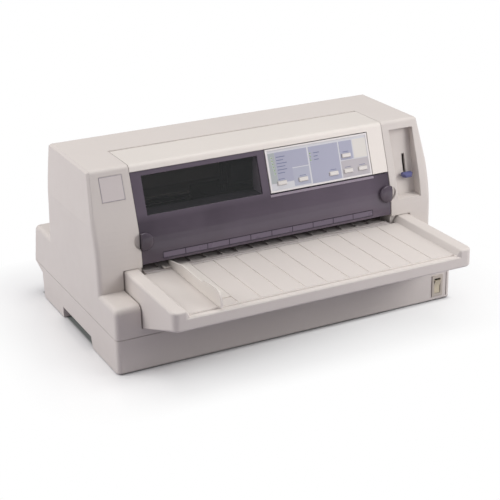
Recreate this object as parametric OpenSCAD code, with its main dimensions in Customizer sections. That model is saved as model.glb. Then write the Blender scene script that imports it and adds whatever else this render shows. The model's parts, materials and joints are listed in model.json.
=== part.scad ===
// Flatbed dot matrix printer with a lift-up front cover and a paper table.
// Lengths are in millimetres. While a piece is drawn, x = 0 is the middle of the
// case, y = 0 its front face and z = 0 the table top. place() then moves every
// piece so that the origin lies under the middle of the whole printer.

/* [Case] */
// Width of the case
case_w = 492; // [482:1:510]
// Depth of the case, front face to rear face
case_d = 312; // [308:1:322]
// Height of the tower
tower_h = 239; // [236:1:250]
// Height of the shoulders at the front corners
shoulder_h = 88; // [86:1:92]
// Height of the shelf behind the tower
shelf_h = 103; // [100:1:106]
// Height of the seam between lower and upper case
seam_z = 46.5; // [44:0.5:48]
// Wall of the mouldings
wall = 3; // [2.5:0.1:3.4]
// Rounding of the outer edges
edge_r = 6; // [5:0.5:8]
// Rounding of the shoulder and shelf edges
deck_r = 9; // [8:0.5:12]
// Gap between the two case halves
seam_gap = 0.6; // [0.3:0.1:1]

/* [Tower face] */
// Distance of the tower's front top edge behind the case front
face_top_y = 85; // [82:1:88]
// Lean of the sloping face from the vertical
face_lean = 18.5; // [17:0.5:20]
// Height where the slope starts to bend upright
face_bend_z = 172; // [170:1:174]
// Radius of that bend
face_arc_r = 189; // [180:1:200]
// Distance of the tower's rear top edge behind the case front
back_top_y = 225; // [223:0.5:227]
// Lean of the tower's rear wall from the vertical
back_lean = 5; // [4:0.5:6]
// Inset of the tower's sides at the top
side_in = 6; // [4:0.5:7]
// Width of the broken edges there
side_edge = 3; // [2:0.5:4]
// Inset of the lower case's sides at the bottom
foot_in = 2.5; // [1.5:0.5:3]
// Inset of the rear wall at the shelf
rear_in = 12; // [9:0.5:13]

/* [Lift-up cover] */
// Width of the tower left of the cover
tower_left_w = 60; // [58:1:62]
// Width of the tower right of the cover
tower_right_w = 64; // [63:1:66]
// Rear edge of the cover behind the case front
cover_back_y = 152; // [148:1:156]
// Height of the cover's lower edge
cover_low_z = 117; // [116:0.5:119]
// Gap round the cover
cover_gap = 0.6; // [0.4:0.1:1]
// Wall of the cover and of its window
cover_t = 2.6; // [2.2:0.1:3]
// Depth of the lip in front of the window, down the slope
lip_s = 9; // [8:0.5:9.5]
// Step from the cover's skin back to the window
window_step = 0.8; // [0.5:0.1:1.2]
// Depth of the ribs along the cover's sides
cover_rib = 8; // [6:0.5:10]
// Radius of the rounded rear edge, round the hinge line
hinge_edge_r = 4; // [3.5:0.5:4.5]
// Radius of the hinge pins
hinge_pin_r = 2.2; // [1.8:0.1:2.4]
// Running clearance of a shaft in its bore
run_fit = 0.05; // [0.02:0.01:0.09]
// Height of the see-through pane, down the slope
pane_h = 50; // [46:1:51]
// Radius of the finger grips at the cover's edges
grip_r = 12; // [10:0.5:13]
// Height of the finger grips above the window
grip_rise = 4; // [3:0.5:5]
// Height of the grips' middle above the table top
grip_z = 147; // [143:1:150]

/* [Control panel] */
// Width of the panel
panel_w = 154; // [150:0.5:156]
// Start of the panel down the slope
panel_s = 10; // [9.8:0.1:10.4]
// Height of the panel down the slope
panel_h = 57; // [55:0.5:58]
// Rim of the panel
panel_rim = 2.4; // [2:0.1:3]
// Thickness of the printed sheet on the panel
sheet_t = 0.5; // [0.3:0.1:0.7]
// Width of a key
key_w = 13.4; // [12:0.2:14]
// Height of a key
key_h = 5.2; // [4.6:0.2:6]
// Height of a key above the panel sheet
key_rise = 1.6; // [1.2:0.1:2]
// Travel of a key
key_travel = 0.8; // [0.6:0.1:1]
// Radius of a lamp
lamp_r = 0.9; // [0.7:0.1:1.1]

/* [Paper table] */
// Reach of the table in front of the case
tray_reach = 95; // [92:1:98]
// Distance of the table's sides from the case's sides
tray_in = 35.5; // [34:0.5:37]
// Height of the paper path
paper_z = 106; // [105:0.5:107]
// Thickness of the table's plate
tray_t = 2.5; // [2:0.1:3]
// Height of the side arms
arm_z = 113.5; // [112:0.5:115]
// Height of the table's lower edge at the front
tray_low_z = 88.5; // [87:0.5:90]
// Width of an arm's top
arm_w = 19.5; // [18:0.5:21]
// Slope of an arm's inner side, down to the plate
arm_slope = 4; // [2:0.5:5]
// Radius of the arms' upright front corners
arm_round = 9; // [7:0.5:10]
// Rounding along the arms' top
arm_edge = 3; // [2:0.5:4]
// Width of the lip in front of the plate
lip_w = 8.5; // [7:0.5:10]
// Spacing of the grooves in the plate
groove_pitch = 30.6; // [30.2:0.1:31]
// Distance of the edge guide's fin from the table's left side
guide_in = 64; // [62:0.5:66]
// Thickness of the edge guide's fin
guide_t = 2.4; // [2:0.1:3]

/* [Mechanism] */
// Radius of the platen
platen_r = 11; // [10.5:0.1:11.5]
// Place of the print line behind the case front
print_y = 135; // [133:0.5:137]
// Distance from the print line to each feed roller
feed_pitch = 27; // [26.5:0.1:27.5]
// Radius of the pinch rollers
pinch_r = 5; // [4.5:0.1:5.5]
// Gap for the paper between feed and pinch rollers
paper_gap = 0.4; // [0.3:0.1:0.6]
// Radius of the carriage guide shaft
guide_shaft_r = 6; // [5:0.5:7]
// Thickness of the steel plates
plate_t = 2; // [1.6:0.1:2.4]
// Width of the gears
gear_w = 6; // [5:0.5:7]
// Module of the gears
gear_m = 1; // [1:0.01:1.02]
// Teeth of the platen gear
platen_teeth = 24; // [24:1:24]
// Teeth of the feed and idler gears
feed_teeth = 16; // [16:1:16]
// Teeth of the motor pinion
pinion_teeth = 12; // [12:1:12]
// Radius of the belt pulleys
pulley_r = 8; // [7:0.5:9]
// Width of the toothed belt
belt_w = 5.4; // [5:0.1:6]
// Place of the print head at rest
head_x = -9; // [-14:1:-4]
// Room above the print head, up to the tower's top
head_room = 34; // [32:1:38]
// Height of the ribbon cartridge
cartridge_h = 16; // [14:0.5:17]
// Half width of the ribbon cartridge
cartridge_half = 66; // [60:1:67]
// Rest angle of the paper thickness lever below the horizontal
lever_rest = 13.5; // [12:0.5:15]

/* [Base] */
// Height of the feet below the lower case
foot_h = 1; // [0.8:0.1:1.5]
// Radius of the feet
foot_r = 9; // [7:0.5:10]
// Front end of the hand holds
hold_y0 = 87; // [85:1:90]
// Rear end of the hand holds
hold_y1 = 198; // [195:1:201]
// Height of the hand holds' roof
hold_z = 16; // [15:0.5:18]
// Depth of the hand holds
hold_depth = 26; // [22:1:30]
// Distance of the switch's middle from the case's side
switch_in = 22; // [21.5:0.5:23]
// Height of the switch's middle
switch_z = 22.5; // [21:0.5:24]
// Tilt of the rocker at rest
rocker_tilt = 8; // [6:0.5:10]

/* [Hidden] */
$fn = 48;

skin = 0.01;            // overlap of bodies that are joined
round_min = 0.6;        // smallest rounding inside the case
cut = 1;                // how far a cut runs past a face
seat = 0.3;             // gap between a piece and its seat
edge_steps = 4;         // slices in a rounded side edge
half_w = case_w / 2;
mid_y = (case_d - tray_reach) / 2;
base_z = foot_h;

// Cover opening
open_l = tower_left_w - half_w;
open_r = half_w - tower_right_w;
hinge_y = cover_back_y - hinge_edge_r;
hinge_z = tower_h - hinge_edge_r;
flange_d = 16;          // depth of the flange round the opening

// Tower face: slope, then an arc that ends upright
arc_y = face_top_y - (tower_h - face_bend_z) * tan(face_lean) + face_arc_r * cos(face_lean);
arc_z = face_bend_z - face_arc_r * sin(face_lean);
face_foot_y = arc_y - face_arc_r;
face_k = (1 - sin(face_lean)) / cos(face_lean);
back_k = (1 - sin(back_lean)) / cos(back_lean);
lean_len = (tower_h - face_bend_z) / cos(face_lean);

// Bay that holds the paper table
bay_floor = 57;
tray_l = tray_in - half_w;
tray_r = half_w - tray_in;
bay_l = tray_l - 1.5;
bay_r = tray_r + 1.5;
bay_back = face_foot_y + 4;
bay_top = arm_z + 2 * seat;
mouth_y = 95;           // rear end of the walls beside the paper mouth

// Lever recess in the right tower
rec_l = open_r + 10.5;
rec_r = half_w - 16;
rec_top_z = tower_h - 12;
rec_low_z = tower_h - 102;
rec_top_y = 91;
rec_low_y = 70;
lever_x = half_w - 29;
lever_y = 130;
lever_z = tower_h - 61;
lever_len = 58;
lever_t = 3;
lever_sweep = 24;
stud_r = 3;

// Side frames and the rollers between them
frame_l = open_l + 4;   // inner face of the left side frame
frame_r = open_r - 4;   // inner face of the right side frame
frame_w = frame_r - frame_l;
frame_mid = (frame_l + frame_r) / 2;
pan_z = 58;
pan_top = pan_z + plate_t;
frame_y0 = 76;
frame_y1 = 222;
feed_r = platen_r * feed_teeth / platen_teeth;
platen_z = paper_z - platen_r;
feed_z = paper_z - feed_r;
pinch_z = paper_z + paper_gap + pinch_r;
front_y = print_y - feed_pitch;
rear_y = print_y + feed_pitch;
platen_shaft_r = 4;
feed_shaft_r = 3;
pinch_shaft_r = 2.5;
bush_t = 1.4;           // wall of a bush
flange_t = 1;           // flange of a bush
gear_x = frame_r + plate_t + flange_t + seat;
gear_plate_x = gear_x + gear_w + 2;
axle_r = 3;

// Guide shaft, rear rail and belt
guide_y = 172;
guide_z = paper_z + 31;
rail_z = paper_z + 49;
rail_y0 = 181;
rail_y1 = 213;
rail_low_z = paper_z + 11;
belt_y = 195;
belt_z = paper_z + 31;
belt_t = 1.2;
drive_x = frame_l + 22;
idler_x = frame_r - 22;
pulley_shaft_r = 2;
motor_r = 18;
motor_h = 28;

// Carriage
carriage_z = paper_z + 15;  // underside of the carriage
carriage_t = 6;
cradle_half = 28;
nose_half = 7;
nose_low_z = paper_z + 1.7;
head_r = 22;
head_low_z = carriage_z + carriage_t;
sink_z = paper_z + 51;      // lower end of the head's cooling fins
head_top_z = tower_h - head_room;
sink_half = 20;
cartridge_z = paper_z + 53;
cartridge_y0 = print_y - 39;
cartridge_y1 = print_y + 15;
ribbon_z = paper_z + 1;
ribbon_t = 0.3;
knob_dx = -38;
knob_y = 106;

// Feed motor on the gear plate
feed_motor_r = 21;
feed_motor_len = 34;
pinion_angle = 50;
motor_shaft_r = 2.5;

// ---------------------------------------------------------------- helpers

module place() {
    translate([0, -mid_y, 0]) children();
}

// Extrudes an outline drawn as (y, z) from x0 to x1
module along_x(x0, x1) {
    translate([x0, 0, 0]) rotate([90, 0, 90]) linear_extrude(x1 - x0) children();
}

module rod_x(x0, x1, y, z, r) {
    translate([x0, y, z]) rotate([0, 90, 0]) cylinder(h = x1 - x0, r = r);
}

module box(x0, x1, y0, y1, z0, z1) {
    translate([x0, y0, z0]) cube([x1 - x0, y1 - y0, z1 - z0]);
}

// Local frame of the sloping face: x as before, y = depth behind the face,
// z = minus the distance down the slope
module on_slope() {
    translate([0, face_top_y, tower_h]) rotate([-face_lean, 0, 0]) children();
}

// A block on the slope: s runs down the slope, d goes into the case
module slope_box(x0, x1, s0, s1, d0, d1) {
    translate([x0, d0, -s1]) cube([x1 - x0, d1 - d0, s1 - s0]);
}

function arc_points(cy, cz, r, a0, a1, n) =
    [for (i = [0:n]) let (a = a0 + (a1 - a0) * i / n) [cy + r * cos(a), cz + r * sin(a)]];

// Front of the tower, d inside its skin, from the top edge down to z = low
function face_points(d, low) = concat(
    arc_points(face_top_y + max(edge_r, d) * face_k, tower_h - max(edge_r, d),
        max(edge_r - d, round_min), 90, 180 - face_lean, 5),
    arc_points(arc_y, arc_z, face_arc_r - d, 180 - face_lean, 180, 8),
    [[face_foot_y + d, low]]);

// Whole side outline of the tower, d inside its skin
function tower_points(d, low) = concat(
    [[back_top_y - d / cos(back_lean) + (tower_h - low) * tan(back_lean), low]],
    arc_points(back_top_y - max(edge_r, d) * back_k, tower_h - max(edge_r, d),
        max(edge_r - d, round_min), back_lean, 90, 5),
    face_points(d, low));

// Side outline of a deck with rounded top edges, d inside its skin; its rear wall ends at y2 below
function deck_points(d, y0, y1, y2, low, top) = concat(
    [[y2 - d, low]],
    arc_points(y1 - deck_r, top - deck_r, deck_r - d, 0, 90, 6),
    arc_points(y0 + deck_r, top - deck_r, deck_r - d, 90, 180, 6),
    [[y0 + d, low]]);

// Place and inset of slice i in a rounded side edge
function slice_x(i) = half_w - edge_r + edge_r * sin(90 * i / edge_steps);
function slice_d(i) = edge_r * (1 - cos(90 * i / edge_steps));

module slice(i) {
    along_x(-slice_x(i), slice_x(i)) children();
}

// ---------------------------------------------------------------- upper case

// Cuts that let the tower's sides lean inwards above the bend of its face, with broken edges
module edge_cut(len) {
    rotate(-45) translate([-side_edge * sqrt(0.5), -edge_r, -len - edge_r])
        cube([2 * edge_r, 2 * edge_r, len + 2 * edge_r]);
}

module side_cuts() {
    for (side = [-1, 1]) scale([side, 1, 1]) {
        translate([0, case_d, 0]) rotate([90, 0, 0]) linear_extrude(case_d) polygon([
            [half_w, face_bend_z], [half_w - side_in, tower_h], [half_w - side_in, tower_h + cut],
            [half_w + cut, tower_h + cut], [half_w + cut, face_bend_z]]);
        on_slope() translate([half_w - side_in, 0, 0]) rotate([0, -atan(side_in / lean_len), 0])
            edge_cut(lean_len - edge_r);
        translate([half_w - side_in, 0, tower_h]) rotate([0, 45, 0])
            translate([-edge_r, 0, -side_edge * sqrt(0.5)]) cube([2 * edge_r, case_d, 2 * edge_r]);
    }
}

module tower_body() {
    hull() for (i = [0:edge_steps])
        slice(i) polygon(tower_points(slice_d(i), seam_z + deck_r));
}

module front_deck() {
    hull() for (i = [0:edge_steps])
        slice(i) polygon(deck_points(slice_d(i), 0, back_top_y, back_top_y, seam_z + seam_gap, shoulder_h));
}

module rear_deck() {
    hull() for (i = [0:edge_steps])
        slice(i) polygon(deck_points(slice_d(i), cover_back_y, case_d - rear_in, case_d,
            seam_z + seam_gap, shelf_h));
}

module case_outside() {
    tower_body();
    front_deck();
    rear_deck();
}

module case_inside() {
    inner = half_w - wall;
    intersection() {
        along_x(-inner, inner) polygon(tower_points(wall, seam_z));
        translate([0, case_d, 0]) rotate([90, 0, 0]) linear_extrude(case_d) polygon([
            [-inner, 0], [inner, 0], [inner, face_bend_z], [inner - side_in, tower_h],
            [side_in - inner, tower_h], [-inner, face_bend_z]]);
    }
    along_x(-inner, inner) polygon(deck_points(wall, 0, back_top_y, back_top_y, seam_z - cut, shoulder_h));
    along_x(-inner, inner) polygon(deck_points(wall, cover_back_y, case_d - rear_in, case_d,
        seam_z - cut, shelf_h));
}

// Flange that runs along one side of the cover opening
module opening_flange(x0, x1) {
    along_x(x0, x1) intersection() {
        difference() {
            polygon(tower_points(0, bay_floor));
            polygon(tower_points(flange_d, bay_floor - cut));
        }
        translate([0, bay_floor]) square([cover_back_y + flange_d, tower_h]);
    }
}

function recess_points(grow) = [
    [face_foot_y - flange_d, rec_top_z + grow + 2],
    [rec_top_y + grow, rec_top_z + grow],
    [rec_low_y + grow, rec_low_z - grow],
    [face_foot_y - flange_d, rec_low_z - grow - 4]];

module case_liners() {
    box(bay_l - wall, bay_r + wall, 0, bay_back + wall, bay_floor - wall, bay_top + wall);
    box(open_l - wall, open_l, face_foot_y, mouth_y, bay_floor - wall, cover_low_z + flange_d);
    box(open_r, open_r + wall, face_foot_y, mouth_y, bay_floor - wall, cover_low_z + flange_d);
    opening_flange(open_l - wall, open_l);
    opening_flange(open_r, open_r + wall);
    along_x(rec_l - wall, rec_r + wall) polygon(recess_points(wall));
    for (x = [open_l - grip_r + 2, open_r])
        box(x, x + grip_r - 2, face_foot_y, face_foot_y + 8, grip_z - grip_r - 2, grip_z + grip_r + 2);
}

// Finger scallop beside a grip, cut into the tower's edge
module scallop(x) {
    translate([x, face_foot_y - 1, grip_z]) rotate([90, 0, 0])
        cylinder(h = 12, r = grip_r - 2, center = true);
}

slot_half = lever_t / 2 + 0.6;
function floor_y(z) = rec_low_y + (z - rec_low_z) * (rec_top_y - rec_low_y) / (rec_top_z - rec_low_z);
slot_low_z = lever_z - (lever_y - floor_y(lever_z)) * tan(lever_rest) - 3;
slot_high_z = lever_z + (lever_y - floor_y(lever_z)) * tan(lever_sweep - lever_rest) + 3;

exit_half = (open_r - open_l) / 2 - 34;     // half width of the rear paper slot
exit_z = paper_z;
exit_h = 12;
badge_x = 19 - half_w;
badge_w = 31;
badge_s = 9;
badge_h = 32;
badge_t = 0.8;
badge_rise = 0.25;

module upper_case() color("gainsboro") place() difference() {
    union() {
        difference() {
            case_outside();
            case_inside();
        }
        intersection() {
            case_outside();
            case_liners();
        }
    }
    box(bay_l, bay_r, -cut, bay_back, bay_floor, bay_top);
    box(open_l, open_r, face_foot_y - cut, cover_back_y + cover_gap, bay_floor, tower_h + cut);
    along_x(rec_l, rec_r) polygon(recess_points(0));
    box(lever_x - slot_half, lever_x + slot_half, rec_low_y - wall, rec_top_y + 2 * wall,
        slot_low_z, slot_high_z);
    rod_x(open_l - wall - cut, open_l + cut, hinge_y, hinge_z, hinge_pin_r + run_fit);
    rod_x(open_r - cut, open_r + wall + cut, hinge_y, hinge_z, hinge_pin_r + run_fit);
    scallop(open_l + 2);
    scallop(open_r - 2);
    side_cuts();
    box(-exit_half, exit_half, back_top_y, case_d, exit_z, exit_z + exit_h);
    on_slope() slope_box(badge_x, badge_x + badge_w, badge_s, badge_s + badge_h, -cut, badge_t - badge_rise);
    vents();
}

// Cooling slots in the rear wall
vent_x = 40;
vent_pitch = 9;
vent_count = 10;
vent_w = 3.6;
module vents() {
    for (i = [0:vent_count - 1])
        box(vent_x + i * vent_pitch, vent_x + i * vent_pitch + vent_w,
            case_d - rear_in - 2 * wall, case_d + cut, seam_z + 12, shelf_h - 16);
}

module badge_plate() color("silver") place() on_slope()
    slope_box(badge_x + 0.2, badge_x + badge_w - 0.2, badge_s + 0.2, badge_s + badge_h - 0.2,
        -badge_rise, badge_t - badge_rise);

// ---------------------------------------------------------------- lower case

base_back_y = case_d - 28;      // upper end of the rear wall
base_back_z = 37;               // where the rear overhang meets that wall
base_foot_back = case_d - 30;   // lower end of the rear wall
base_top = seam_z;

function base_points(d, low) = [
    [base_back_y - d, base_top], [base_back_y - d, base_back_z], [base_foot_back - d, low + 2],
    [base_foot_back - d - 2, low], [d + 2, low], [d, low + 2], [d, base_top]];

function overhang_points(d) = [
    [case_d - d, base_top], [base_back_y - d, base_back_z], [hold_y1, base_back_z], [hold_y1, base_top]];

module base_outside() {
    hull() for (i = [0:edge_steps]) {
        slice(i) intersection() {
            polygon(base_points(slice_d(i), base_z));
            translate([0, base_top - 2]) square([case_d, 2]);
        }
        slice(i, foot_in) polygon(base_points(slice_d(i), base_z));
    }
    hull() for (i = [0:edge_steps])
        slice(i) polygon(overhang_points(slice_d(i)));
}

module base_inside() {
    inner = half_w - wall - foot_in;
    along_x(-inner, inner) polygon([
        [base_back_y - wall, base_top + cut], [base_back_y - wall, base_back_z],
        [base_foot_back - wall, base_z + wall], [wall, base_z + wall], [wall, base_top + cut]]);
    along_x(-inner, inner) polygon([
        [case_d - 2 * wall, base_top + cut], [case_d - 2 * wall, base_top - wall],
        [base_back_y - wall, base_back_z + wall], [hold_y1, base_back_z + wall], [hold_y1, base_top + cut]]);
}

hold_end = 6;           // slope at the front end of a hand hold
function hold_points(grow) = [
    [hold_y0 - grow, -cut], [hold_y0 + hold_end - grow, hold_z + grow],
    [hold_y1 + grow, hold_z + grow], [hold_y1 + grow, -cut]];

module hold_block(side, grow) {
    x0 = side > 0 ? half_w - hold_depth - grow : -half_w - cut;
    x1 = side > 0 ? half_w + cut : hold_depth + grow - half_w;
    along_x(x0, x1) polygon(hold_points(grow));
}

pillar_r = 5;
pillar_xy = [for (x = [open_l + 12, open_r - 12], y = [frame_y0 + 16, frame_y1 - 8]) [x, y]];
boss_r = 5;
boss_hole_r = 1.6;
boss_xy = [for (x = [18 - half_w, half_w - 18], y = [22, base_foot_back - 22]) [x, y]];
board_post_r = 3;
board_z = 10;
board_x = [frame_l + 32, frame_mid + 40];
board_y = [base_foot_back - 209, base_foot_back - 29];
switch_x = half_w - switch_in;
board_xy = [for (x = [board_x[0] + 6, board_x[1] - 6], y = [board_y[0] + 6, board_y[1] - 6]) [x, y]];
switch_w = 14;
switch_h = 28;
switch_depth = 16;
inlet_x = frame_r - 48;
inlet_w = 28;
inlet_h = 20;
inlet_z = base_z + 7;
port_x = board_x[0] + 32;
port_w = 56;
port_h = 14;
port_z = base_z + 10;
foot_xy = [for (x = [40 - half_w, half_w - 40], y = [28, base_foot_back - 28]) [x, y]];

module base_case() color("lightgray") place() difference() {
    union() {
        difference() {
            base_outside();
            base_inside();
        }
        for (side = [-1, 1]) intersection() {
            base_outside();
            hold_block(side, wall);
        }
        for (p = pillar_xy) translate([p[0], p[1], base_z + 1]) cylinder(h = pan_z - base_z - 1, r = pillar_r);
        for (p = boss_xy) translate([p[0], p[1], base_z + 1]) cylinder(h = base_top - base_z - 1, r = boss_r);
        for (p = board_xy) translate([p[0], p[1], base_z + 1]) cylinder(h = board_z - base_z - 1, r = board_post_r);
    }
    for (side = [-1, 1]) hold_block(side, 0);
    for (p = boss_xy) translate([p[0], p[1], 0]) {
        cylinder(h = base_top + cut, r = boss_hole_r);
        cylinder(h = screw_head_z, r = screw_head_r + 0.4);
    }
    for (p = pillar_xy) translate([p[0], p[1], pan_z - screw_len]) cylinder(h = screw_len + cut, r = boss_hole_r);
    for (p = foot_xy) translate([p[0], p[1], -cut]) cylinder(h = base_z + cut + 1, r = foot_r + 0.1);
    box(switch_x - switch_w / 2, switch_x + switch_w / 2, -cut, wall + cut,
        switch_z - switch_h / 2, switch_z + switch_h / 2);
    box(inlet_x - inlet_w / 2, inlet_x + inlet_w / 2, base_foot_back - 2 * wall, base_back_y + cut,
        inlet_z, inlet_z + inlet_h);
    box(port_x - port_w / 2, port_x + port_w / 2, base_foot_back - 2 * wall, base_back_y + cut,
        port_z, port_z + port_h);
    // groove beside the switch
    box(switch_x + switch_w, switch_x + switch_w + 1.5, -cut, 1.2, base_z + 4, base_top - 7);
}

module rubber_feet() color("dimgray") place()
    for (p = foot_xy) translate([p[0], p[1], 0]) cylinder(h = base_z + 1, r = foot_r);

screw_r = 1.6;
screw_head_r = 3;
screw_head_z = 6;
screw_len = 10;

// Four screws from below hold the upper case, four hold the chassis pan
module case_screws() color("silver") place() {
    for (p = boss_xy) translate([p[0], p[1], 0]) {
        translate([0, 0, screw_head_z - 2]) cylinder(h = 2, r = screw_head_r);
        translate([0, 0, screw_head_z - skin]) cylinder(h = base_top - 10, r = screw_r);
    }
    for (p = pillar_xy) translate([p[0], p[1], 0]) difference() {
        union() {
            translate([0, 0, pan_z - screw_len + 1]) cylinder(h = screw_len + plate_t, r = screw_r);
            translate([0, 0, pan_top]) cylinder(h = 2, r = screw_head_r);
        }
        translate([-screw_head_r, -0.4, pan_top + 1.2]) cube([2 * screw_head_r, 0.8, cut]);
    }
}

// ---------------------------------------------------------------- paper table

tray_front = -tray_reach;
tray_back = bay_back - 1;
plate_back = face_foot_y - 5;
tray_wall = 3;
low_y = 0;              // where the underside starts to rise
lip_drop = 1.7;
groove_w = 1.2;
groove_d = 0.7;
groove_count = 10;
groove_last_x = tray_r - 56.5;
rib_count = 4;          // ribs under the plate on each side of the middle
tray_rib = (tray_r - tray_l) / 11;

// Ribbed guide behind the plate starts here, with the groove for the edge guide
entry_y0 = plate_back + 2;
guide_x = tray_l + guide_in;
tongue_y = entry_y0 + 6.5;
tongue_t = 2.4;
tongue_depth = 5;
foot_half = 11;

// Upright post with a rounded top, as a corner of an arm
module arm_post(x, y, low, r) {
    for (a = [0:30:90]) translate([x, y, low])
        cylinder(h = arm_z - low - arm_edge * (1 - sin(a)), r = max(r - arm_edge * (1 - cos(a)), seat), $fn = 32);
}

// Side arm of width w, drawn with x = 0 on its outer side
module arm(w) {
    hull() {
        arm_post(arm_round, tray_front + arm_round, tray_low_z + 2, arm_round);
        arm_post(w - arm_edge, tray_front + arm_edge, tray_low_z + 2, arm_edge);
        translate([arm_round, tray_front + arm_round, tray_low_z]) cylinder(h = 2, r = arm_round - 2, $fn = 32);
        box(arm_round, w, tray_front + 2, tray_front + arm_round, tray_low_z, tray_low_z + 2);
        for (a = [0:30:90]) box(arm_edge * (1 - cos(a)), w - arm_edge * (1 - cos(a)), tray_back - 1, tray_back,
            bay_floor + seat, arm_z - arm_edge * (1 - sin(a)));
        box(0, w, low_y, tray_back, bay_floor + seat, bay_floor + 2);
        box(0, w + arm_slope, low_y, tray_back, bay_floor + seat, paper_z);
        box(w, w + arm_slope, tray_front + 3, tray_back, tray_low_z, paper_z - lip_drop);
    }
}

// Hollow under an arm up to z = top, open below
module arm_hollow(x0, x1, top) {
    along_x(x0, x1) polygon([
        [tray_back - tray_wall, bay_floor - cut], [low_y, bay_floor - cut],
        [tray_front + arm_round, tray_low_z - 4 * cut], [tray_front + arm_round, top],
        [tray_back - tray_wall, top]]);
}

module front_tray() color("gainsboro") place() difference() {
    union() {
        box(tray_l + arm_w, tray_r - arm_w, tray_front + lip_w, plate_back, paper_z - tray_t, paper_z);
        // lip and front apron
        box(tray_l + arm_round, tray_r - arm_round, tray_front + 2, tray_front + lip_w + 1,
            paper_z - lip_drop - tray_t, paper_z - lip_drop);
        along_x(tray_l + arm_round, tray_r - arm_round) polygon([
            [tray_front, tray_low_z + 2], [tray_front + 2, tray_low_z], [tray_front + 6, tray_low_z],
            [tray_front + 6, tray_low_z + 3], [tray_front + tray_wall, tray_low_z + 6],
            [tray_front + tray_wall, paper_z - lip_drop], [tray_front + 1.5, paper_z - lip_drop],
            [tray_front, paper_z - lip_drop - 1.5]]);
        translate([tray_l, 0, 0]) arm(arm_w);
        translate([tray_r, 0, 0]) mirror([1, 0, 0]) arm(arm_w);
        // ribs under the plate
        for (i = [-rib_count:rib_count]) along_x(i * tray_rib - 1, i * tray_rib + 1) polygon([
            [tray_front + 2, tray_low_z + 3], [tray_front + 6, tray_low_z + 1], [low_y, bay_floor + seat],
            [plate_back, bay_floor + seat], [plate_back, paper_z - tray_t / 2],
            [tray_front + 2, paper_z - lip_drop - 1]]);
    }
    for (side = [-1, 1]) scale([side, 1, 1]) {
        arm_hollow(tray_l + tray_wall, tray_l + arm_w + 1, paper_z - tray_wall);
        arm_hollow(tray_l + tray_wall, tray_l + arm_w - tray_wall, arm_z - tray_wall);
    }
    for (i = [0:groove_count - 1]) {
        x = groove_last_x - i * groove_pitch;
        box(x - groove_w / 2, x + groove_w / 2, tray_front + lip_w + 2, plate_back + cut,
            paper_z - groove_d, paper_z + cut);
    }
}

// Fin that squares the paper, on a tongue that slides in the entry guide's groove
module edge_guide() color("antiquewhite") place() {
    along_x(guide_x - guide_t / 2, guide_x + guide_t / 2) polygon([
        [tongue_y + 4, paper_z + seat], [tongue_y + 4, paper_z + 7.5], [31, paper_z + 13],
        [17, paper_z + 15.4], [-39, paper_z + 15], [-47, paper_z + 19.3], [-66, paper_z + 21.2],
        [-79, paper_z + 21.4], [tray_front + 9, paper_z + 19.6], [tray_front + 5, paper_z + 16.5],
        [tray_front + 3, paper_z + 12], [tray_front + 2, paper_z + 6], [tray_front + 3, paper_z + seat]]);
    box(guide_x - foot_half, guide_x + foot_half, tongue_y - 4, tongue_y + 4, paper_z + seat, paper_z + 2);
    box(guide_x - foot_half, guide_x + foot_half, tongue_y - tongue_t / 2, tongue_y + tongue_t / 2,
        paper_z - tongue_depth, paper_z + seat + skin);
    // sole that slides on the table under the paper
    box(guide_x, guide_x + 24, tray_front + lip_w + 20, tongue_y, paper_z + seat, paper_z + seat + 1);
}

// ---------------------------------------------------------------- lift-up cover

cov_l = open_l + cover_gap;
cov_r = open_r - cover_gap;
win_top_s = lip_s + 0.3;
panel_x = open_r - 179;
column_x = panel_x + panel_w + 1;       // left side of the cover's right column
hole_x0 = panel_x - 1;
hole_s1 = panel_s + panel_h + 1.2;
column_s = panel_s + panel_h;

// Part of the side outline that lies less than s down the slope
module above_s(s) {
    translate([face_top_y, tower_h]) rotate(-face_lean) translate([-flange_d * 2, -s])
        square([case_d, s + case_d]);
}

module below_s(s) {
    translate([face_top_y, tower_h]) rotate(-face_lean) translate([-flange_d * 2, -s - case_d])
        square([case_d, case_d]);
}

// Shell of the cover between two insets, in front of the hinge line
module cover_outline(d0, d1) {
    difference() {
        polygon(tower_points(d0, bay_floor));
        polygon(tower_points(d1, bay_floor - cut));
        translate([hinge_y, 0]) square([case_d, case_d]);
        translate([0, -cut]) square([case_d, cover_low_z + cut]);
    }
}

module top_cover() color("ivory") place() difference() {
    union() {
        along_x(cov_l, cov_r) intersection() {
            cover_outline(0, cover_t);
            above_s(lip_s);
        }
        along_x(column_x, cov_r) intersection() {
            cover_outline(0, cover_t);
            above_s(column_s);
        }
        // rolled rear edge on the hinge line, and the hinge pins
        rod_x(cov_l, cov_r, hinge_y, hinge_z, hinge_edge_r);
        rod_x(open_l - wall, open_r + wall, hinge_y, hinge_z, hinge_pin_r);
        // ribs along both sides
        for (x = [cov_l, cov_r - cover_t]) along_x(x, x + cover_t) intersection() {
            cover_outline(0, cover_rib);
            above_s(lip_s);
        }
        along_x(column_x, column_x + cover_t / 2) intersection() {
            cover_outline(0, cover_rib);
            above_s(column_s);
        }
        // ledge that carries the window, behind the lip
        along_x(cov_l, hole_x0) intersection() {
            cover_outline(window_step + cover_t, window_step + 2 * cover_t);
            difference() {
                above_s(lip_s + 4);
                above_s(lip_s - 4);
            }
        }
        along_x(cov_l, hole_x0) intersection() {
            cover_outline(skin, window_step + 2 * cover_t);
            difference() {
                above_s(lip_s);
                above_s(lip_s - 4);
            }
        }
    }
}

pane_x = open_l + 15;
pane_w = panel_x - 12 - pane_x;
pane_s = 15.5;
pane_in = 0.9;

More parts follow.
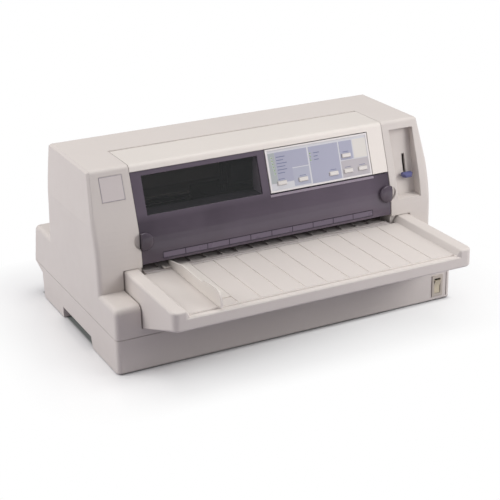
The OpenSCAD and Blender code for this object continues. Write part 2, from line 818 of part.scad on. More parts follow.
module smoked_window() color([0.35, 0.31, 0.36, 0.6]) place() difference() {
    union() {
        difference() {
            along_x(cov_l, cov_r) intersection() {
                cover_outline(window_step, window_step + cover_t);
                below_s(win_top_s);
            }
            on_slope() slope_box(hole_x0, cov_r + cut, 0, column_s + 0.3, -cut, cover_rib);
            on_slope() slope_box(hole_x0, column_x, 0, hole_s1, -cut, cover_rib);
            // lower edge of the hole, sloped so that it swings clear of the panel
            on_slope() along_x(hole_x0, cov_r + cut) polygon([
                [window_step, 1 - hole_s1], [window_step, -hole_s1],
                [window_step + 2 * cover_t, -hole_s1 - 1.8 * cover_t], [window_step + 2 * cover_t, 1 - hole_s1]]);
        }
        // turned-in sides
        for (x = [cov_l, cov_r - cover_t]) along_x(x, x + cover_t) intersection() {
            cover_outline(window_step, cover_rib);
            below_s(x < 0 ? win_top_s + 5 : column_s + 0.3);
        }
        // wall round the panel's left side and lower side
        along_x(hole_x0 - cover_t, hole_x0) intersection() {
            cover_outline(window_step, cover_rib);
            difference() {
                below_s(win_top_s + 6);
                below_s(hole_s1);
            }
        }
        grip(cov_l + 5);
        grip(cov_r - 5);
    }
    // see-through pane, a shallow step in front
    on_slope() slope_box(pane_x, pane_x + pane_w, pane_s, pane_s + pane_h, -cut, window_step + pane_in);
}

// Shaft behind the pane through which the print head is seen
well_depth = 25;
well_t = 1.6;
function slope_point(s, d) = [face_top_y + d * cos(face_lean) - s * sin(face_lean),
    tower_h - d * sin(face_lean) - s * cos(face_lean)];
well_low = slope_point(pane_s + pane_h, window_step + cover_t);
well_high = slope_point(pane_s, window_step + cover_t);
well_back_y = well_low[0] + well_depth;
function well_points(grow, run) = [
    [well_low[0] - run, well_low[1] - grow], [well_back_y + run, well_low[1] - grow],
    [well_back_y + run, well_high[1] + grow],
    [well_high[0] - run + grow * tan(face_lean), well_high[1] + grow]];

module window_well() color("dimgray") place() difference() {
    along_x(pane_x - well_t, pane_x + pane_w + well_t) polygon(well_points(well_t, 0));
    along_x(pane_x, pane_x + pane_w) polygon(well_points(0, 2 * well_t));
}

// Half-dome finger grip, cut off at the cover's edge
module grip(x) {
    intersection() {
        translate([x, face_foot_y + window_step + cover_t, grip_z]) rotate([90, 0, 0]) rotate_extrude()
            polygon(concat([[0, 0], [grip_r, 0]],
                [for (i = [0:6]) [grip_r * cos(i * 15), cover_t + grip_rise * sin(i * 15)]]));
        box(cov_l, cov_r, face_foot_y - grip_rise, face_foot_y + window_step + cover_t + 2,
            grip_z - grip_r, grip_z + grip_r);
    }
}

// ---------------------------------------------------------------- control panel

key_row_s = panel_s + panel_h - 11;
key_spots = [for (p = [[0.118, 0], [0.323, 0], [0.624, 0], [0.77, -20.6], [0.77, 0], [0.914, 0]])
    [panel_x + p[0] * panel_w, key_row_s + p[1]]];
lamp_spots = concat(
    [for (i = [0:5]) [panel_x + 8 + i * 0.4, 22 + i * 4.2]],
    [for (i = [0:2]) [panel_x + 65, 24.5 + i * 4.5]]);
sheet_in = 0.4;                 // the sheet's face behind the rim
sheet_back = sheet_in + sheet_t;
bezel_t = 2.4;
box_in = 3;
box_depth = 20;
key_gap = 0.3;
board_d = 12;
board_t = 1.6;

module panel_housing() color("whitesmoke") place() on_slope() difference() {
    union() {
        slope_box(panel_x, panel_x + panel_w, panel_s, panel_s + panel_h, 0, bezel_t);
        slope_box(panel_x + box_in, panel_x + panel_w - box_in, panel_s + box_in, panel_s + panel_h - box_in,
            0, box_depth);
    }
    slope_box(panel_x + panel_rim, panel_x + panel_w - panel_rim, panel_s + panel_rim,
        panel_s + panel_h - panel_rim, -cut, sheet_back);
    slope_box(panel_x + box_in + 2, panel_x + panel_w - box_in - 2, panel_s + box_in + 2,
        panel_s + panel_h - box_in - 2, bezel_t, box_depth + cut);
    for (p = key_spots) key_block(p, key_gap, -cut, bezel_t + cut);
    for (p = lamp_spots) translate([p[0], 0, -p[1]]) rotate([-90, 0, 0]) cylinder(h = bezel_t + cut, r = lamp_r + 0.1);
}

module key_block(p, grow, d0, d1) {
    slope_box(p[0] - key_w / 2 - grow, p[0] + key_w / 2 + grow, p[1] - key_h / 2 - grow, p[1] + key_h / 2 + grow, d0, d1);
}

module panel_sheet() color("lightsteelblue") place() on_slope() difference() {
    slope_box(panel_x + panel_rim + 0.1, panel_x + panel_w - panel_rim - 0.1, panel_s + panel_rim + 0.1,
        panel_s + panel_h - panel_rim - 0.1, sheet_in, sheet_back);
    for (p = key_spots) key_block(p, key_gap, -cut, bezel_t);
    for (p = lamp_spots) translate([p[0], 0, -p[1]]) rotate([-90, 0, 0]) cylinder(h = bezel_t, r = lamp_r + 0.1);
}

module indicator_lamps() color("yellowgreen") place() on_slope()
    for (p = lamp_spots) translate([p[0], sheet_in, -p[1]]) rotate([-90, 0, 0])
        cylinder(h = board_d - sheet_in, r = lamp_r);

module panel_board() color("darkgreen") place() on_slope() {
    slope_box(panel_x + box_in + 2.2, panel_x + panel_w - box_in - 2.2, panel_s + box_in + 2.2,
        panel_s + panel_h - box_in - 2.2, board_d, board_d + board_t);
    for (p = key_spots) slope_box(p[0] - 3, p[0] + 3, p[1] - 3, p[1] + 3,
        key_foot_d + key_travel + key_gap, board_d + skin);
}

key_foot_d = 8;
// Key cap with a collar behind the panel that keeps it in
module key(i) color("white") place() on_slope() {
    hull() {
        key_block(key_spots[i], -0.6, sheet_in - key_rise, sheet_in);
        key_block(key_spots[i], 0, sheet_in - key_rise + 0.6, bezel_t);
    }
    key_block(key_spots[i], 0, sheet_in, key_foot_d);
    key_block(key_spots[i], 0.9, bezel_t + key_gap, bezel_t + 1.8);
}
module key_1() { key(0); }
module key_2() { key(1); }
module key_3() { key(2); }
module key_4() { key(3); }
module key_5() { key(4); }
module key_6() { key(5); }

// Steel arm that carries the panel from the right side frame
bracket_y = 94;
bracket_z0 = tower_h - 60;
bracket_z1 = tower_h - 39;
module panel_bracket() color("darkgray") place() {
    box(panel_x + panel_w - 40, frame_r, bracket_y, bracket_y + plate_t, bracket_z0, bracket_z1 - 2);
    box(frame_r - plate_t, frame_r, bracket_y, bracket_y + 14, bracket_z0, bracket_z1 - 2);
    on_slope() slope_box(panel_x + panel_w - 40, panel_x + panel_w - 12, panel_s + 16, panel_s + 46,
        box_depth, box_depth + plate_t);
    along_x(panel_x + panel_w - 40, panel_x + panel_w - 12) polygon([
        [bracket_y, bracket_z1 - 2], [bracket_y + plate_t, bracket_z1 - 2],
        [bracket_y + plate_t, bracket_z1 - 6], [bracket_y, bracket_z1 - 6]]);
}

// ---------------------------------------------------------------- side frames

frame_low_z = paper_z + 15;     // top of the frames' front corner
frame_top_z = paper_z + 63;
function frame_outline(tall) = concat(
    [[frame_y0, pan_top], [frame_y0, frame_low_z]],
    tall ? [[bracket_y - 4, frame_low_z + 26], [bracket_y - 4, bracket_z1], [bracket_y + 18, bracket_z1],
            [lever_y - 13, lever_z + 14], [lever_y + 12, lever_z + 14], [lever_y + 18, frame_top_z + 4]]
         : [[bracket_y, frame_low_z + 26], [bracket_y + 18, frame_top_z]],
    [[rail_y0 + 3, frame_top_z], [frame_y1, frame_top_z - 4], [frame_y1, pan_top]]);

roller_spots = [[front_y, feed_z, feed_shaft_r], [rear_y, feed_z, feed_shaft_r],
    [print_y, platen_z, platen_shaft_r],
    [front_y, pinch_z, pinch_shaft_r], [rear_y, pinch_z, pinch_shaft_r]];

module side_frame(x0, tall) difference() {
    along_x(x0, x0 + plate_t) difference() {
        polygon(frame_outline(tall));
        // window that lightens the plate
        translate([rear_y + 36, pan_top + 12]) square([18, 40]);
    }
    for (p = roller_spots) rod_x(x0 - cut, x0 + plate_t + cut, p[0], p[1], p[2] + run_fit + bush_t);
    rod_x(x0 - cut, x0 + plate_t + cut, guide_y, guide_z, guide_shaft_r);
}

module left_side_frame() color("darkgray") place() side_frame(frame_l - plate_t, false);

module right_side_frame() color("darkgray") place() {
    side_frame(frame_r, true);
    // stud that carries the lever
    rod_x(frame_r + plate_t - skin, lever_x + 8, lever_y, lever_z, stud_r);
    rod_x(frame_r + plate_t - skin, lever_x - 5.3, lever_y, lever_z, stud_r + 2.5);
}

module bush(x0, x1, flange_x, y, z, r) difference() {
    union() {
        rod_x(x0, x1, y, z, r + run_fit + bush_t);
        rod_x(flange_x, flange_x + flange_t, y, z, r + run_fit + bush_t + 1);
    }
    rod_x(x0 - cut, x1 + cut, y, z, r + run_fit);
}

module shaft_bushes() color("goldenrod") place()
    for (p = roller_spots) {
        bush(frame_l - plate_t - flange_t, frame_l, frame_l - plate_t - flange_t, p[0], p[1], p[2]);
        bush(frame_r, frame_r + plate_t + flange_t, frame_r + plate_t, p[0], p[1], p[2]);
    }

module chassis_pan() color("darkgray") place() difference() {
    box(frame_l - plate_t, frame_r + plate_t, frame_y0, frame_y1, pan_z, pan_top);
    for (p = pillar_xy) translate([p[0], p[1], pan_z - cut]) cylinder(h = plate_t + 2 * cut, r = screw_r + 0.2);
    for (i = [-3:3]) let (x = frame_mid + i * frame_w / 7.8)
        box(x - 15, x + 15, frame_y0 + 24, frame_y1 - 60, pan_z - cut, pan_top + cut);
}

// Ribbed guide between the table and the front rollers
entry_y1 = front_y - 8;
guide_rib = frame_w / 16;       // spacing of the ribs on both paper guides
module entry_guide() color("gray") place() difference() {
    union() {
        box(frame_l + seat, frame_r - seat, entry_y0, entry_y1, paper_z - 9, paper_z - 2);
        box(frame_l + seat, frame_r - seat, entry_y0, entry_y0 + 13.5, paper_z - 9, paper_z - 0.4);
        box(frame_l + seat, frame_r - seat, frame_y0 + 2, frame_y0 + 5, pan_top, paper_z - 8);
        for (i = [-7:7]) let (x = frame_mid + i * guide_rib)
            box(x - 1, x + 1, entry_y0 + 12, entry_y1, paper_z - 3, paper_z);
    }
    box(frame_l - cut, frame_r + cut, tongue_y - tongue_t / 2 - seat, tongue_y + tongue_t / 2 + seat,
        paper_z - tongue_depth - seat, paper_z + cut);
}

// Ribbed guide from the rear rollers to the slot in the rear wall
exit_y0 = rear_y + 10;
exit_y1 = frame_y1 + 9;
module exit_guide() color("gray") place() {
    box(frame_l + seat, frame_r - seat, exit_y0, frame_y1, paper_z - 4, paper_z - 1);
    box(-exit_half, exit_half, exit_y0, exit_y1, paper_z - 4, paper_z - 1);
    for (x = [frame_l + seat, frame_r - seat - plate_t])
        box(x, x + plate_t, exit_y0, frame_y1 - 20, pan_top, paper_z - 3);
    for (i = [-6:6]) let (x = frame_mid + i * guide_rib) along_x(x - 1, x + 1) polygon([
        [exit_y0, paper_z - 1.5], [exit_y1, paper_z - 1.5], [exit_y1, paper_z], [exit_y0 + 3, paper_z]]);
}

// ---------------------------------------------------------------- carriage drive

module guide_shaft() color("silver") place()
    rod_x(frame_l - plate_t, frame_r + plate_t, guide_y, guide_z, guide_shaft_r);

module rear_rail() color("darkgray") place() difference() {
    union() {
        box(frame_l, frame_r, rail_y0, rail_y1, rail_z, rail_z + plate_t);
        box(frame_l, frame_r, rail_y1 - plate_t, rail_y1, rail_low_z, rail_z + skin);
        translate([idler_x, belt_y, belt_z - 3]) cylinder(h = rail_z - belt_z + 4, r = pulley_shaft_r);
    }
    translate([drive_x, belt_y, rail_z - cut]) cylinder(h = plate_t + 2 * cut, r = pulley_shaft_r + 0.6);
    for (i = [-2:2]) let (x = frame_mid + i * frame_w / 6)
        box(x - 18, x + 18, rail_y1 - plate_t - cut, rail_y1 + cut, rail_low_z + 10, rail_low_z + 26);
}

module carriage_motor() color("dimgray") place() difference() {
    union() {
        translate([drive_x, belt_y, rail_z + plate_t]) cylinder(h = motor_h, r = motor_r);
        translate([drive_x - motor_r - 1, belt_y - 6, rail_z + plate_t]) cube([2 * motor_r + 2, 12, 2]);
    }
    translate([drive_x, belt_y, rail_z + plate_t - cut]) cylinder(h = 12 + cut, r = pulley_shaft_r + run_fit);
}

// Pulley with its flanges, from the belt up to the rail
module pulley() {
    translate([0, 0, belt_z]) cylinder(h = belt_w + 2 * seat, r = pulley_r);
    translate([0, 0, belt_z - 1.5]) cylinder(h = 1.5, r = pulley_r + 2);
    translate([0, 0, belt_z + belt_w + 2 * seat]) cylinder(h = 1.5, r = pulley_r + 2);
    translate([0, 0, belt_z + belt_w]) cylinder(h = rail_z - seat - belt_z - belt_w, r = pulley_shaft_r + 2);
}

module drive_pulley() color("silver") place() translate([drive_x, belt_y, 0]) {
    pulley();
    translate([0, 0, rail_z - 1]) cylinder(h = plate_t + 11, r = pulley_shaft_r);
}

module idler_pulley() color("silver") place() translate([idler_x, belt_y, 0]) difference() {
    pulley();
    translate([0, 0, belt_z - 3]) cylinder(h = rail_z, r = pulley_shaft_r + run_fit);
}

module belt_loop(r) {
    for (x = [drive_x, idler_x]) translate([x, belt_y]) circle(r = r);
    translate([drive_x, belt_y - r]) square([idler_x - drive_x, 2 * r]);
}

module drive_belt() color("black") place() translate([0, 0, belt_z + seat]) linear_extrude(belt_w) difference() {
    belt_loop(pulley_r + seat + belt_t);
    belt_loop(pulley_r + seat);
}

belt_run_y = belt_y - pulley_r - seat - belt_t / 2;
module carriage_frame() color("dimgray") place() translate([head_x, 0, 0]) difference() {
    union() {
        box(-cradle_half, cradle_half, print_y - head_r, guide_y - 10, carriage_z, head_low_z);
        box(-head_r, head_r, guide_y - 12, guide_y + 12, guide_z - 12, guide_z + 12);
        box(-head_r, head_r, guide_y - 14, guide_y - 8, carriage_z, guide_z - 8);
        // posts that carry the ribbon cartridge
        for (side = [-1, 1]) box(side * 26 - 2, side * 26 + 2, print_y - 12, print_y + 12, head_low_z - skin, cartridge_z - seat);
        // belt clamp
        box(-10, 10, guide_y + 8, belt_run_y + 4, belt_z - 12, belt_z - 4);
        box(-10, 10, belt_run_y - belt_t / 2 - seat - 3, belt_run_y - belt_t / 2 - seat, belt_z - 5, belt_z + belt_w + 1);
        box(-10, 10, belt_run_y + belt_t / 2 + seat, belt_run_y + belt_t / 2 + seat + 3, belt_z - 5, belt_z + belt_w + 1);
        // fork on the rear rail
        box(-8, 8, guide_y, rail_y0 - 1, guide_z + 10, rail_z + plate_t + 5);
        box(-8, 8, rail_y0 - 3, rail_y0 + 5, rail_z + plate_t + seat, rail_z + plate_t + 5);
        box(-8, 8, rail_y0 - 3, rail_y0 + 5, rail_z - 5, rail_z - seat);
    }
    rod_x(-cradle_half - cut, cradle_half + cut, guide_y, guide_z, guide_shaft_r + run_fit);
    box(-nose_half - seat, nose_half + seat, print_y - nose_half - seat, print_y + nose_half + seat,
        carriage_z - cut, head_low_z + cut);
}

fin_count = 7;
fin_gap = 3.2;
module print_head() color("dimgray") place() translate([head_x, print_y, 0]) {
    hull() {
        translate([-nose_half, -nose_half, carriage_z - 2]) cube([2 * nose_half, 2 * nose_half, 2]);
        translate([-nose_half + 3, -nose_half + 3, nose_low_z]) cube([2 * nose_half - 6, 2 * nose_half - 6, 1]);
    }
    translate([-nose_half, -nose_half, carriage_z - 2]) cube([2 * nose_half, 2 * nose_half, carriage_t + 3]);
    translate([0, 0, head_low_z + seat]) cylinder(h = sink_z - head_low_z, r = head_r);
    difference() {
        translate([-sink_half, -sink_half + 2, sink_z]) cube([2 * sink_half, 2 * sink_half - 4, head_top_z - sink_z]);
        for (i = [1:fin_count]) let (y = (i - (fin_count + 1) / 2) * 5)
            translate([-sink_half - cut, y - fin_gap / 2, sink_z + 16]) cube([2 * sink_half + 2 * cut, fin_gap, head_top_z]);
    }
    // bright clamp bar across the front of the head
    translate([-17, -sink_half - 1.2, cartridge_z + cartridge_h + 1.5]) cube([34, 3.4, 3]);
}

module ribbon_cartridge() color("black") place() translate([head_x, 0, 0]) difference() {
    union() {
        linear_extrude_at(cartridge_z, cartridge_h) difference() {
            translate([-cartridge_half, cartridge_y0])
                square([2 * cartridge_half, cartridge_y1 - cartridge_y0]);
            translate([-head_r - 0.6, print_y - sink_half - 1]) square([2 * head_r + 1.2, case_d]);
            for (side = [-1, 1]) translate([side * cartridge_half, cartridge_y0]) rotate(45) square(16, center = true);
        }
        for (side = [-1, 1]) box(side * 31.5 - 2.2, side * 31.5 + 2.2, print_y - 4, print_y + 4,
            ribbon_z + ribbon_t, cartridge_z + 1);
    }
    translate([knob_dx, knob_y, cartridge_z + 6]) cylinder(h = cartridge_h, r = 3 + run_fit);
}

module linear_extrude_at(z, h) {
    translate([0, 0, z]) linear_extrude(h) children();
}

module ribbon_band() color("black") place()
    box(head_x - 33, head_x + 33, print_y - 3.5, print_y + 3.5, ribbon_z, ribbon_z + ribbon_t);

module ribbon_knob() color("black") place() translate([head_x + knob_dx, knob_y, 0]) {
    translate([0, 0, cartridge_z + 6.5]) cylinder(h = cartridge_h, r = 3);
    translate([0, 0, cartridge_z + cartridge_h + seat]) difference() {
        cylinder(h = 11, r = 7);
        for (a = [0:45:315]) rotate(a) translate([7.6, 0, 2]) cylinder(h = 12, r = 1.4, $fn = 16);
    }
}

// ---------------------------------------------------------------- rollers and gears

rubber_x0 = frame_l + 2;
rubber_x1 = frame_r - 2;
roller_pitch = frame_w / 7.2;

module platen_roller() color("black") place() {
    rod_x(frame_l - plate_t - flange_t, gear_x + gear_w, print_y, platen_z, platen_shaft_r);
    rod_x(rubber_x0, rubber_x1, print_y, platen_z, platen_r);
    rod_x(frame_l + seat, frame_r - seat, print_y, platen_z, platen_shaft_r + 1.5);
}

module feed_roller(y, x_end) {
    rod_x(frame_l - plate_t - flange_t, x_end, y, feed_z, feed_shaft_r);
    rod_x(frame_l + seat, frame_r - seat, y, feed_z, feed_shaft_r + 1.5);
    for (i = [-3:3]) let (x = frame_mid + i * roller_pitch) rod_x(x - 14, x + 14, y, feed_z, feed_r);
}
module front_feed_roller() color("dimgray") place() feed_roller(front_y, gear_x + gear_w);
module rear_feed_roller() color("dimgray") place() feed_roller(rear_y, gear_x + gear_w);

module pinch_roller(y) {
    rod_x(frame_l - plate_t - flange_t, frame_r + plate_t + flange_t, y, pinch_z, pinch_shaft_r);
    rod_x(frame_l + seat, frame_r - seat, y, pinch_z, pinch_shaft_r + 1);
    for (i = [-3:3]) let (x = frame_mid + i * roller_pitch) rod_x(x - 10, x + 10, y, pinch_z, pinch_r);
}
module front_pinch_roller() color("gray") place() pinch_roller(front_y);
module rear_pinch_roller() color("gray") place() pinch_roller(rear_y);

// Involute spur gear drawn as an outline, with a tooth centred on angle phase
pressure = 20;
tooth_up = 0.8;
tooth_down = 1.1;
backlash = 0.16;
flank_steps = 3;
function inv(a) = tan(a) * 180 / PI - a;
function tooth_half(r, teeth) =
    let (pr = gear_m * teeth / 2, rb = pr * cos(pressure), rr = max(r, rb))
    90 / teeth - backlash / pr * 90 / PI + inv(pressure) - inv(acos(rb / rr));
function gear_points(teeth, phase) =
    let (pr = gear_m * teeth / 2, r0 = pr - tooth_down * gear_m, r1 = pr + tooth_up * gear_m,
        rb = pr * cos(pressure), rs = max(r0, rb))
    [for (t = [0:teeth - 1], side = [-1, 1], i = [0:flank_steps + 1])
        let (j = side < 0 ? i : flank_steps + 1 - i,
            r = j == 0 ? r0 : rs + (r1 - rs) * (j - 1) / flank_steps,
            a = phase + t * 360 / teeth + side * tooth_half(r, teeth))
        [r * cos(a), r * sin(a)]];

// Phase of a gear that meshes with another, seen from it at angle dir
function mesh_phase(dir, phase, teeth, next_teeth) =
    dir + 180 + 180 / next_teeth - (phase - dir) * teeth / next_teeth;

function dist(a, b) = norm(b - a);
function heading(a, b) = atan2(b[1] - a[1], b[0] - a[0]);
// Point at distance ra from a and rb from b, on the lower side
function lower_joint(a, b, ra, rb) =
    let (d = dist(a, b), k = (ra * ra - rb * rb + d * d) / (2 * d), h = sqrt(ra * ra - k * k),
        u = (b - a) / d, n = u[0] > 0 ? [u[1], -u[0]] : [-u[1], u[0]])
    a + k * u + h * n;

platen_c = [print_y, platen_z];
front_c = [front_y, feed_z];
rear_c = [rear_y, feed_z];
idler_reach = gear_m * (platen_teeth + feed_teeth) / 2;
feed_reach = gear_m * feed_teeth;
front_idler_c = lower_joint(platen_c, front_c, idler_reach, feed_reach);
rear_idler_c = lower_joint(platen_c, rear_c, idler_reach, feed_reach);
pinion_reach = gear_m * (feed_teeth + pinion_teeth) / 2;
pinion_c = rear_c + pinion_reach * [cos(pinion_angle), sin(pinion_angle)];
platen_phase = 90;
front_idler_phase = mesh_phase(heading(platen_c, front_idler_c), platen_phase, platen_teeth, feed_teeth);
rear_idler_phase = mesh_phase(heading(platen_c, rear_idler_c), platen_phase, platen_teeth, feed_teeth);
front_phase = mesh_phase(heading(front_idler_c, front_c), front_idler_phase, feed_teeth, feed_teeth);
rear_phase = mesh_phase(heading(rear_idler_c, rear_c), rear_idler_phase, feed_teeth, feed_teeth);
pinion_phase = mesh_phase(pinion_angle, rear_phase, feed_teeth, pinion_teeth);

module gear(c, teeth, phase, bore_r) {
    difference() {
        along_x(gear_x, gear_x + gear_w) translate(c) polygon(gear_points(teeth, phase));
        rod_x(gear_x - cut, gear_x + gear_w + cut, c[0], c[1], bore_r);
    }
}

module platen_gear() color("ivory") place() gear(platen_c, platen_teeth, platen_phase, platen_shaft_r);
module front_feed_gear() color("ivory") place() gear(front_c, feed_teeth, front_phase, feed_shaft_r);
module rear_feed_gear() color("ivory") place() gear(rear_c, feed_teeth, rear_phase, feed_shaft_r);
module front_idler_gear() color("ivory") place() gear(front_idler_c, feed_teeth, front_idler_phase, axle_r + run_fit);
module rear_idler_gear() color("ivory") place() gear(rear_idler_c, feed_teeth, rear_idler_phase, axle_r + run_fit);

module idler_axles() color("silver") place()
    for (c = [front_idler_c, rear_idler_c]) rod_x(frame_r + plate_t, gear_plate_x, c[0], c[1], axle_r);

standoff_r = 2.5;
gear_plate_z = paper_z - 33;
standoffs = [[rear_y + 30, gear_plate_z + 12], [rear_y + 30, gear_plate_z + 56], [print_y, gear_plate_z + 4.5]];
module gear_plate() color("darkgray") place() difference() {
    union() {
        along_x(gear_plate_x, gear_plate_x + plate_t)
            polygon([[front_y - 2, gear_plate_z], [rear_y + 36, gear_plate_z], [rear_y + 36, gear_plate_z + 62],
                [print_y + 15, gear_plate_z + 62], [print_y + 9, gear_plate_z + 28], [front_y - 2, gear_plate_z + 28]]);
        for (p = standoffs) rod_x(frame_r + plate_t, gear_plate_x + skin, p[0], p[1], standoff_r);
    }
    rod_x(gear_plate_x - cut, gear_plate_x + plate_t + cut, pinion_c[0], pinion_c[1], motor_shaft_r + 1);
}

module feed_motor() color("dimgray") place() difference() {
    rod_x(gear_plate_x + plate_t, gear_plate_x + plate_t + feed_motor_len, pinion_c[0], pinion_c[1], feed_motor_r);
    rod_x(gear_plate_x, gear_plate_x + plate_t + 14, pinion_c[0], pinion_c[1], motor_shaft_r + run_fit);
}

module motor_pinion() color("goldenrod") place() {
    gear(pinion_c, pinion_teeth, pinion_phase, motor_shaft_r);
    rod_x(gear_x, gear_plate_x + plate_t + 13, pinion_c[0], pinion_c[1], motor_shaft_r);
}

// ---------------------------------------------------------------- lever and switch

module lever_frame() {
    translate([lever_x, lever_y, lever_z]) rotate([lever_rest, 0, 0]) children();
}

module gap_lever() color("darkgray") place() lever_frame() difference() {
    union() {
        rod_x(-5, 5, 0, 0, stud_r + 3);
        translate([-lever_t / 2, -lever_len, -lever_t / 2]) cube([lever_t, lever_len, lever_t]);
    }
    rod_x(-6, 6, 0, 0, stud_r + run_fit);
}

knob_w = 15.5;
knob_d = 9;
knob_h = 7;
module lever_knob() color("slateblue") place() lever_frame() translate([0, -lever_len - knob_d, 0]) {
    hull() {
        translate([-knob_w / 2, 4, -knob_h / 2 + 1]) cube([knob_w, knob_d - 4, knob_h - 2]);
        translate([-knob_w / 2 + 3, 0, -knob_h / 2 + 2]) cube([knob_w - 6, 4, knob_h - 4]);
        translate([-knob_w / 2 + 2, 5, -knob_h / 2]) cube([knob_w - 4, knob_d - 7, knob_h]);
    }
}

module switch_frame() color("antiquewhite") place() difference() {
    union() {
        box(switch_x - switch_w / 2 - 1.5, switch_x + switch_w / 2 + 1.5, -1.2, 0,
            switch_z - switch_h / 2 - 1.5, switch_z + switch_h / 2 + 1.5);
        box(switch_x - switch_w / 2 + 0.2, switch_x + switch_w / 2 - 0.2, -skin, switch_depth,
            switch_z - switch_h / 2 + 0.2, switch_z + switch_h / 2 - 0.2);
    }
    box(switch_x - switch_w / 2 + 2, switch_x + switch_w / 2 - 2, -2, switch_depth - 2,
        switch_z - switch_h / 2 + 3, switch_z + switch_h / 2 - 3);
    rod_x(switch_x - switch_w / 2 + 0.8, switch_x + switch_w / 2 - 0.8, rocker_y, switch_z, rocker_pin_r + run_fit);
}

rocker_y = 4;
rocker_pin_r = 1.2;
rocker_half = 9.8;
module power_rocker() color("linen") place()
    translate([switch_x, rocker_y, switch_z]) rotate([rocker_tilt, 0, 0]) {
        along_x(-switch_w / 2 + 2.4, switch_w / 2 - 2.4) polygon(concat(
            [[3, -rocker_half + 4], [3, rocker_half - 4]],
            [for (i = [0:8]) let (z = rocker_half * (1 - i / 4)) [-6 + 1.6 * cos(z / rocker_half * 90), z]]));
        rod_x(-switch_w / 2 + 1, switch_w / 2 - 1, 0, 0, rocker_pin_r);
    }

// ---------------------------------------------------------------- electronics

chip_pitch = (board_x[1] - board_x[0] - 40) / 3.6;
module main_board() color("darkgreen") place() {
    box(board_x[0], board_x[1], board_y[0], board_y[1], board_z, board_z + board_t);
    for (i = [0:3]) let (x = board_x[0] + 20 + i * chip_pitch)
        box(x, x + 24, board_y[0] + 40, board_y[0] + 64, board_z + board_t - skin, board_z + board_t + 4);
    box(board_x[0] + 16, board_x[0] + 90, board_y[0] + 100, board_y[0] + 112, board_z + board_t - skin, board_z + board_t + 22);
}

supply_x = [frame_r - 118, frame_r - 18];
supply_y = [base_foot_back - 160, base_foot_back - 25];
supply_z = base_z + wall;
module power_supply() color("silver") place() {
    box(supply_x[0], supply_x[1], supply_y[0], supply_y[1], supply_z, supply_z + 4);
    box(supply_x[0] + 12, supply_x[0] + 62, supply_y[0] + 20, supply_y[0] + 62, supply_z + 3, supply_z + 42);
    for (i = [0:4]) box(supply_x[1] - 34 + i * 6, supply_x[1] - 32 + i * 6, supply_y[0] + 20, supply_y[1] - 12, supply_z + 3, supply_z + 36);
    for (i = [0:1]) translate([supply_x[0] + 26 + i * 26, supply_y[1] - 26, supply_z + 3]) cylinder(h = 34, r = 11);
}

inlet_y = base_foot_back + (base_back_y - base_foot_back) / 2;
module mains_inlet() color("black") place() difference() {
    union() {
        box(inlet_x - inlet_w / 2 + 0.1, inlet_x + inlet_w / 2 - 0.1, inlet_y - 24, inlet_y + 2,
            inlet_z + 0.1, inlet_z + inlet_h - 0.1);
        box(inlet_x - inlet_w / 2 + 4, inlet_x + inlet_w / 2 - 4, inlet_y - 24, inlet_y - 10, supply_z, inlet_z + 1);
    }
    box(inlet_x - 12, inlet_x + 12, inlet_y - 14, inlet_y + 3, inlet_z + 2.5, inlet_z + inlet_h - 2.5);
}

module data_connector() color("silver") place() difference() {
    union() {
        box(port_x - port_w / 2 + 0.1, port_x + port_w / 2 - 0.1, inlet_y - 6, inlet_y + 3,
            port_z + 0.1, port_z + port_h - 0.1);
        box(port_x - port_w / 2 + 4, port_x + port_w / 2 - 4, board_y[1] - 8, inlet_y - 5,
            board_z + board_t, port_z + port_h - 2);
    }
    box(port_x - 22, port_x + 22, inlet_y - 4, inlet_y + 4, port_z + 3, port_z + port_h - 3);
}

base_case();
upper_case();
rubber_feet();
case_screws();
front_tray();
edge_guide();
badge_plate();
top_cover();
smoked_window();
window_well();
panel_housing();
panel_sheet();
panel_board();
indicator_lamps();
panel_bracket();
key_1();
key_2();
key_3();
key_4();
key_5();
key_6();
chassis_pan();
left_side_frame();
right_side_frame();
shaft_bushes();
entry_guide();
exit_guide();
guide_shaft();
rear_rail();
carriage_frame();
print_head();
ribbon_cartridge();
ribbon_band();
ribbon_knob();
carriage_motor();
drive_pulley();
idler_pulley();
drive_belt();
platen_roller();
platen_gear();
front_feed_roller();
front_feed_gear();
rear_feed_roller();
rear_feed_gear();
front_pinch_roller();
rear_pinch_roller();
front_idler_gear();
rear_idler_gear();
idler_axles();
gear_plate();
feed_motor();
motor_pinion();
gap_lever();
lever_knob();
switch_frame();
power_rocker();
main_board();
power_supply();
mains_inlet();
data_connector();
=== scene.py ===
"""Looks of the dot matrix printer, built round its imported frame.

Lengths are in metres. The front looks towards -y, and x = y = 0 is the middle of the footprint.
"""

import json
import math

import bmesh
import bpy
from mathutils import Matrix, Vector


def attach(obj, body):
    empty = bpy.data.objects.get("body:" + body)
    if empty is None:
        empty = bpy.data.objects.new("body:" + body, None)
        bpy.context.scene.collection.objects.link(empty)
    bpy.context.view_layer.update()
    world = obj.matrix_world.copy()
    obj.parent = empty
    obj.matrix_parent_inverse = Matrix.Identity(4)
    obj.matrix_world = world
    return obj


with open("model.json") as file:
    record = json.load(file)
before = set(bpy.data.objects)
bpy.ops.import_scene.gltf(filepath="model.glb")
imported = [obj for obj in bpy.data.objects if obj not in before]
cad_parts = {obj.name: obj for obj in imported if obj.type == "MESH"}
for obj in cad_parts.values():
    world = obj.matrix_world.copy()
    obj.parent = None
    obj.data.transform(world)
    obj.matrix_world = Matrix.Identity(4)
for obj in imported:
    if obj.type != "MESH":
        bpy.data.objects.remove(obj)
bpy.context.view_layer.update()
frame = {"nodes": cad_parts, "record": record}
nodes = frame["nodes"]

MID_Y = 0.1085      # middle of the footprint, behind the case front
FIT_X = 0.240       # the same middle, right of the origin of the camera fit

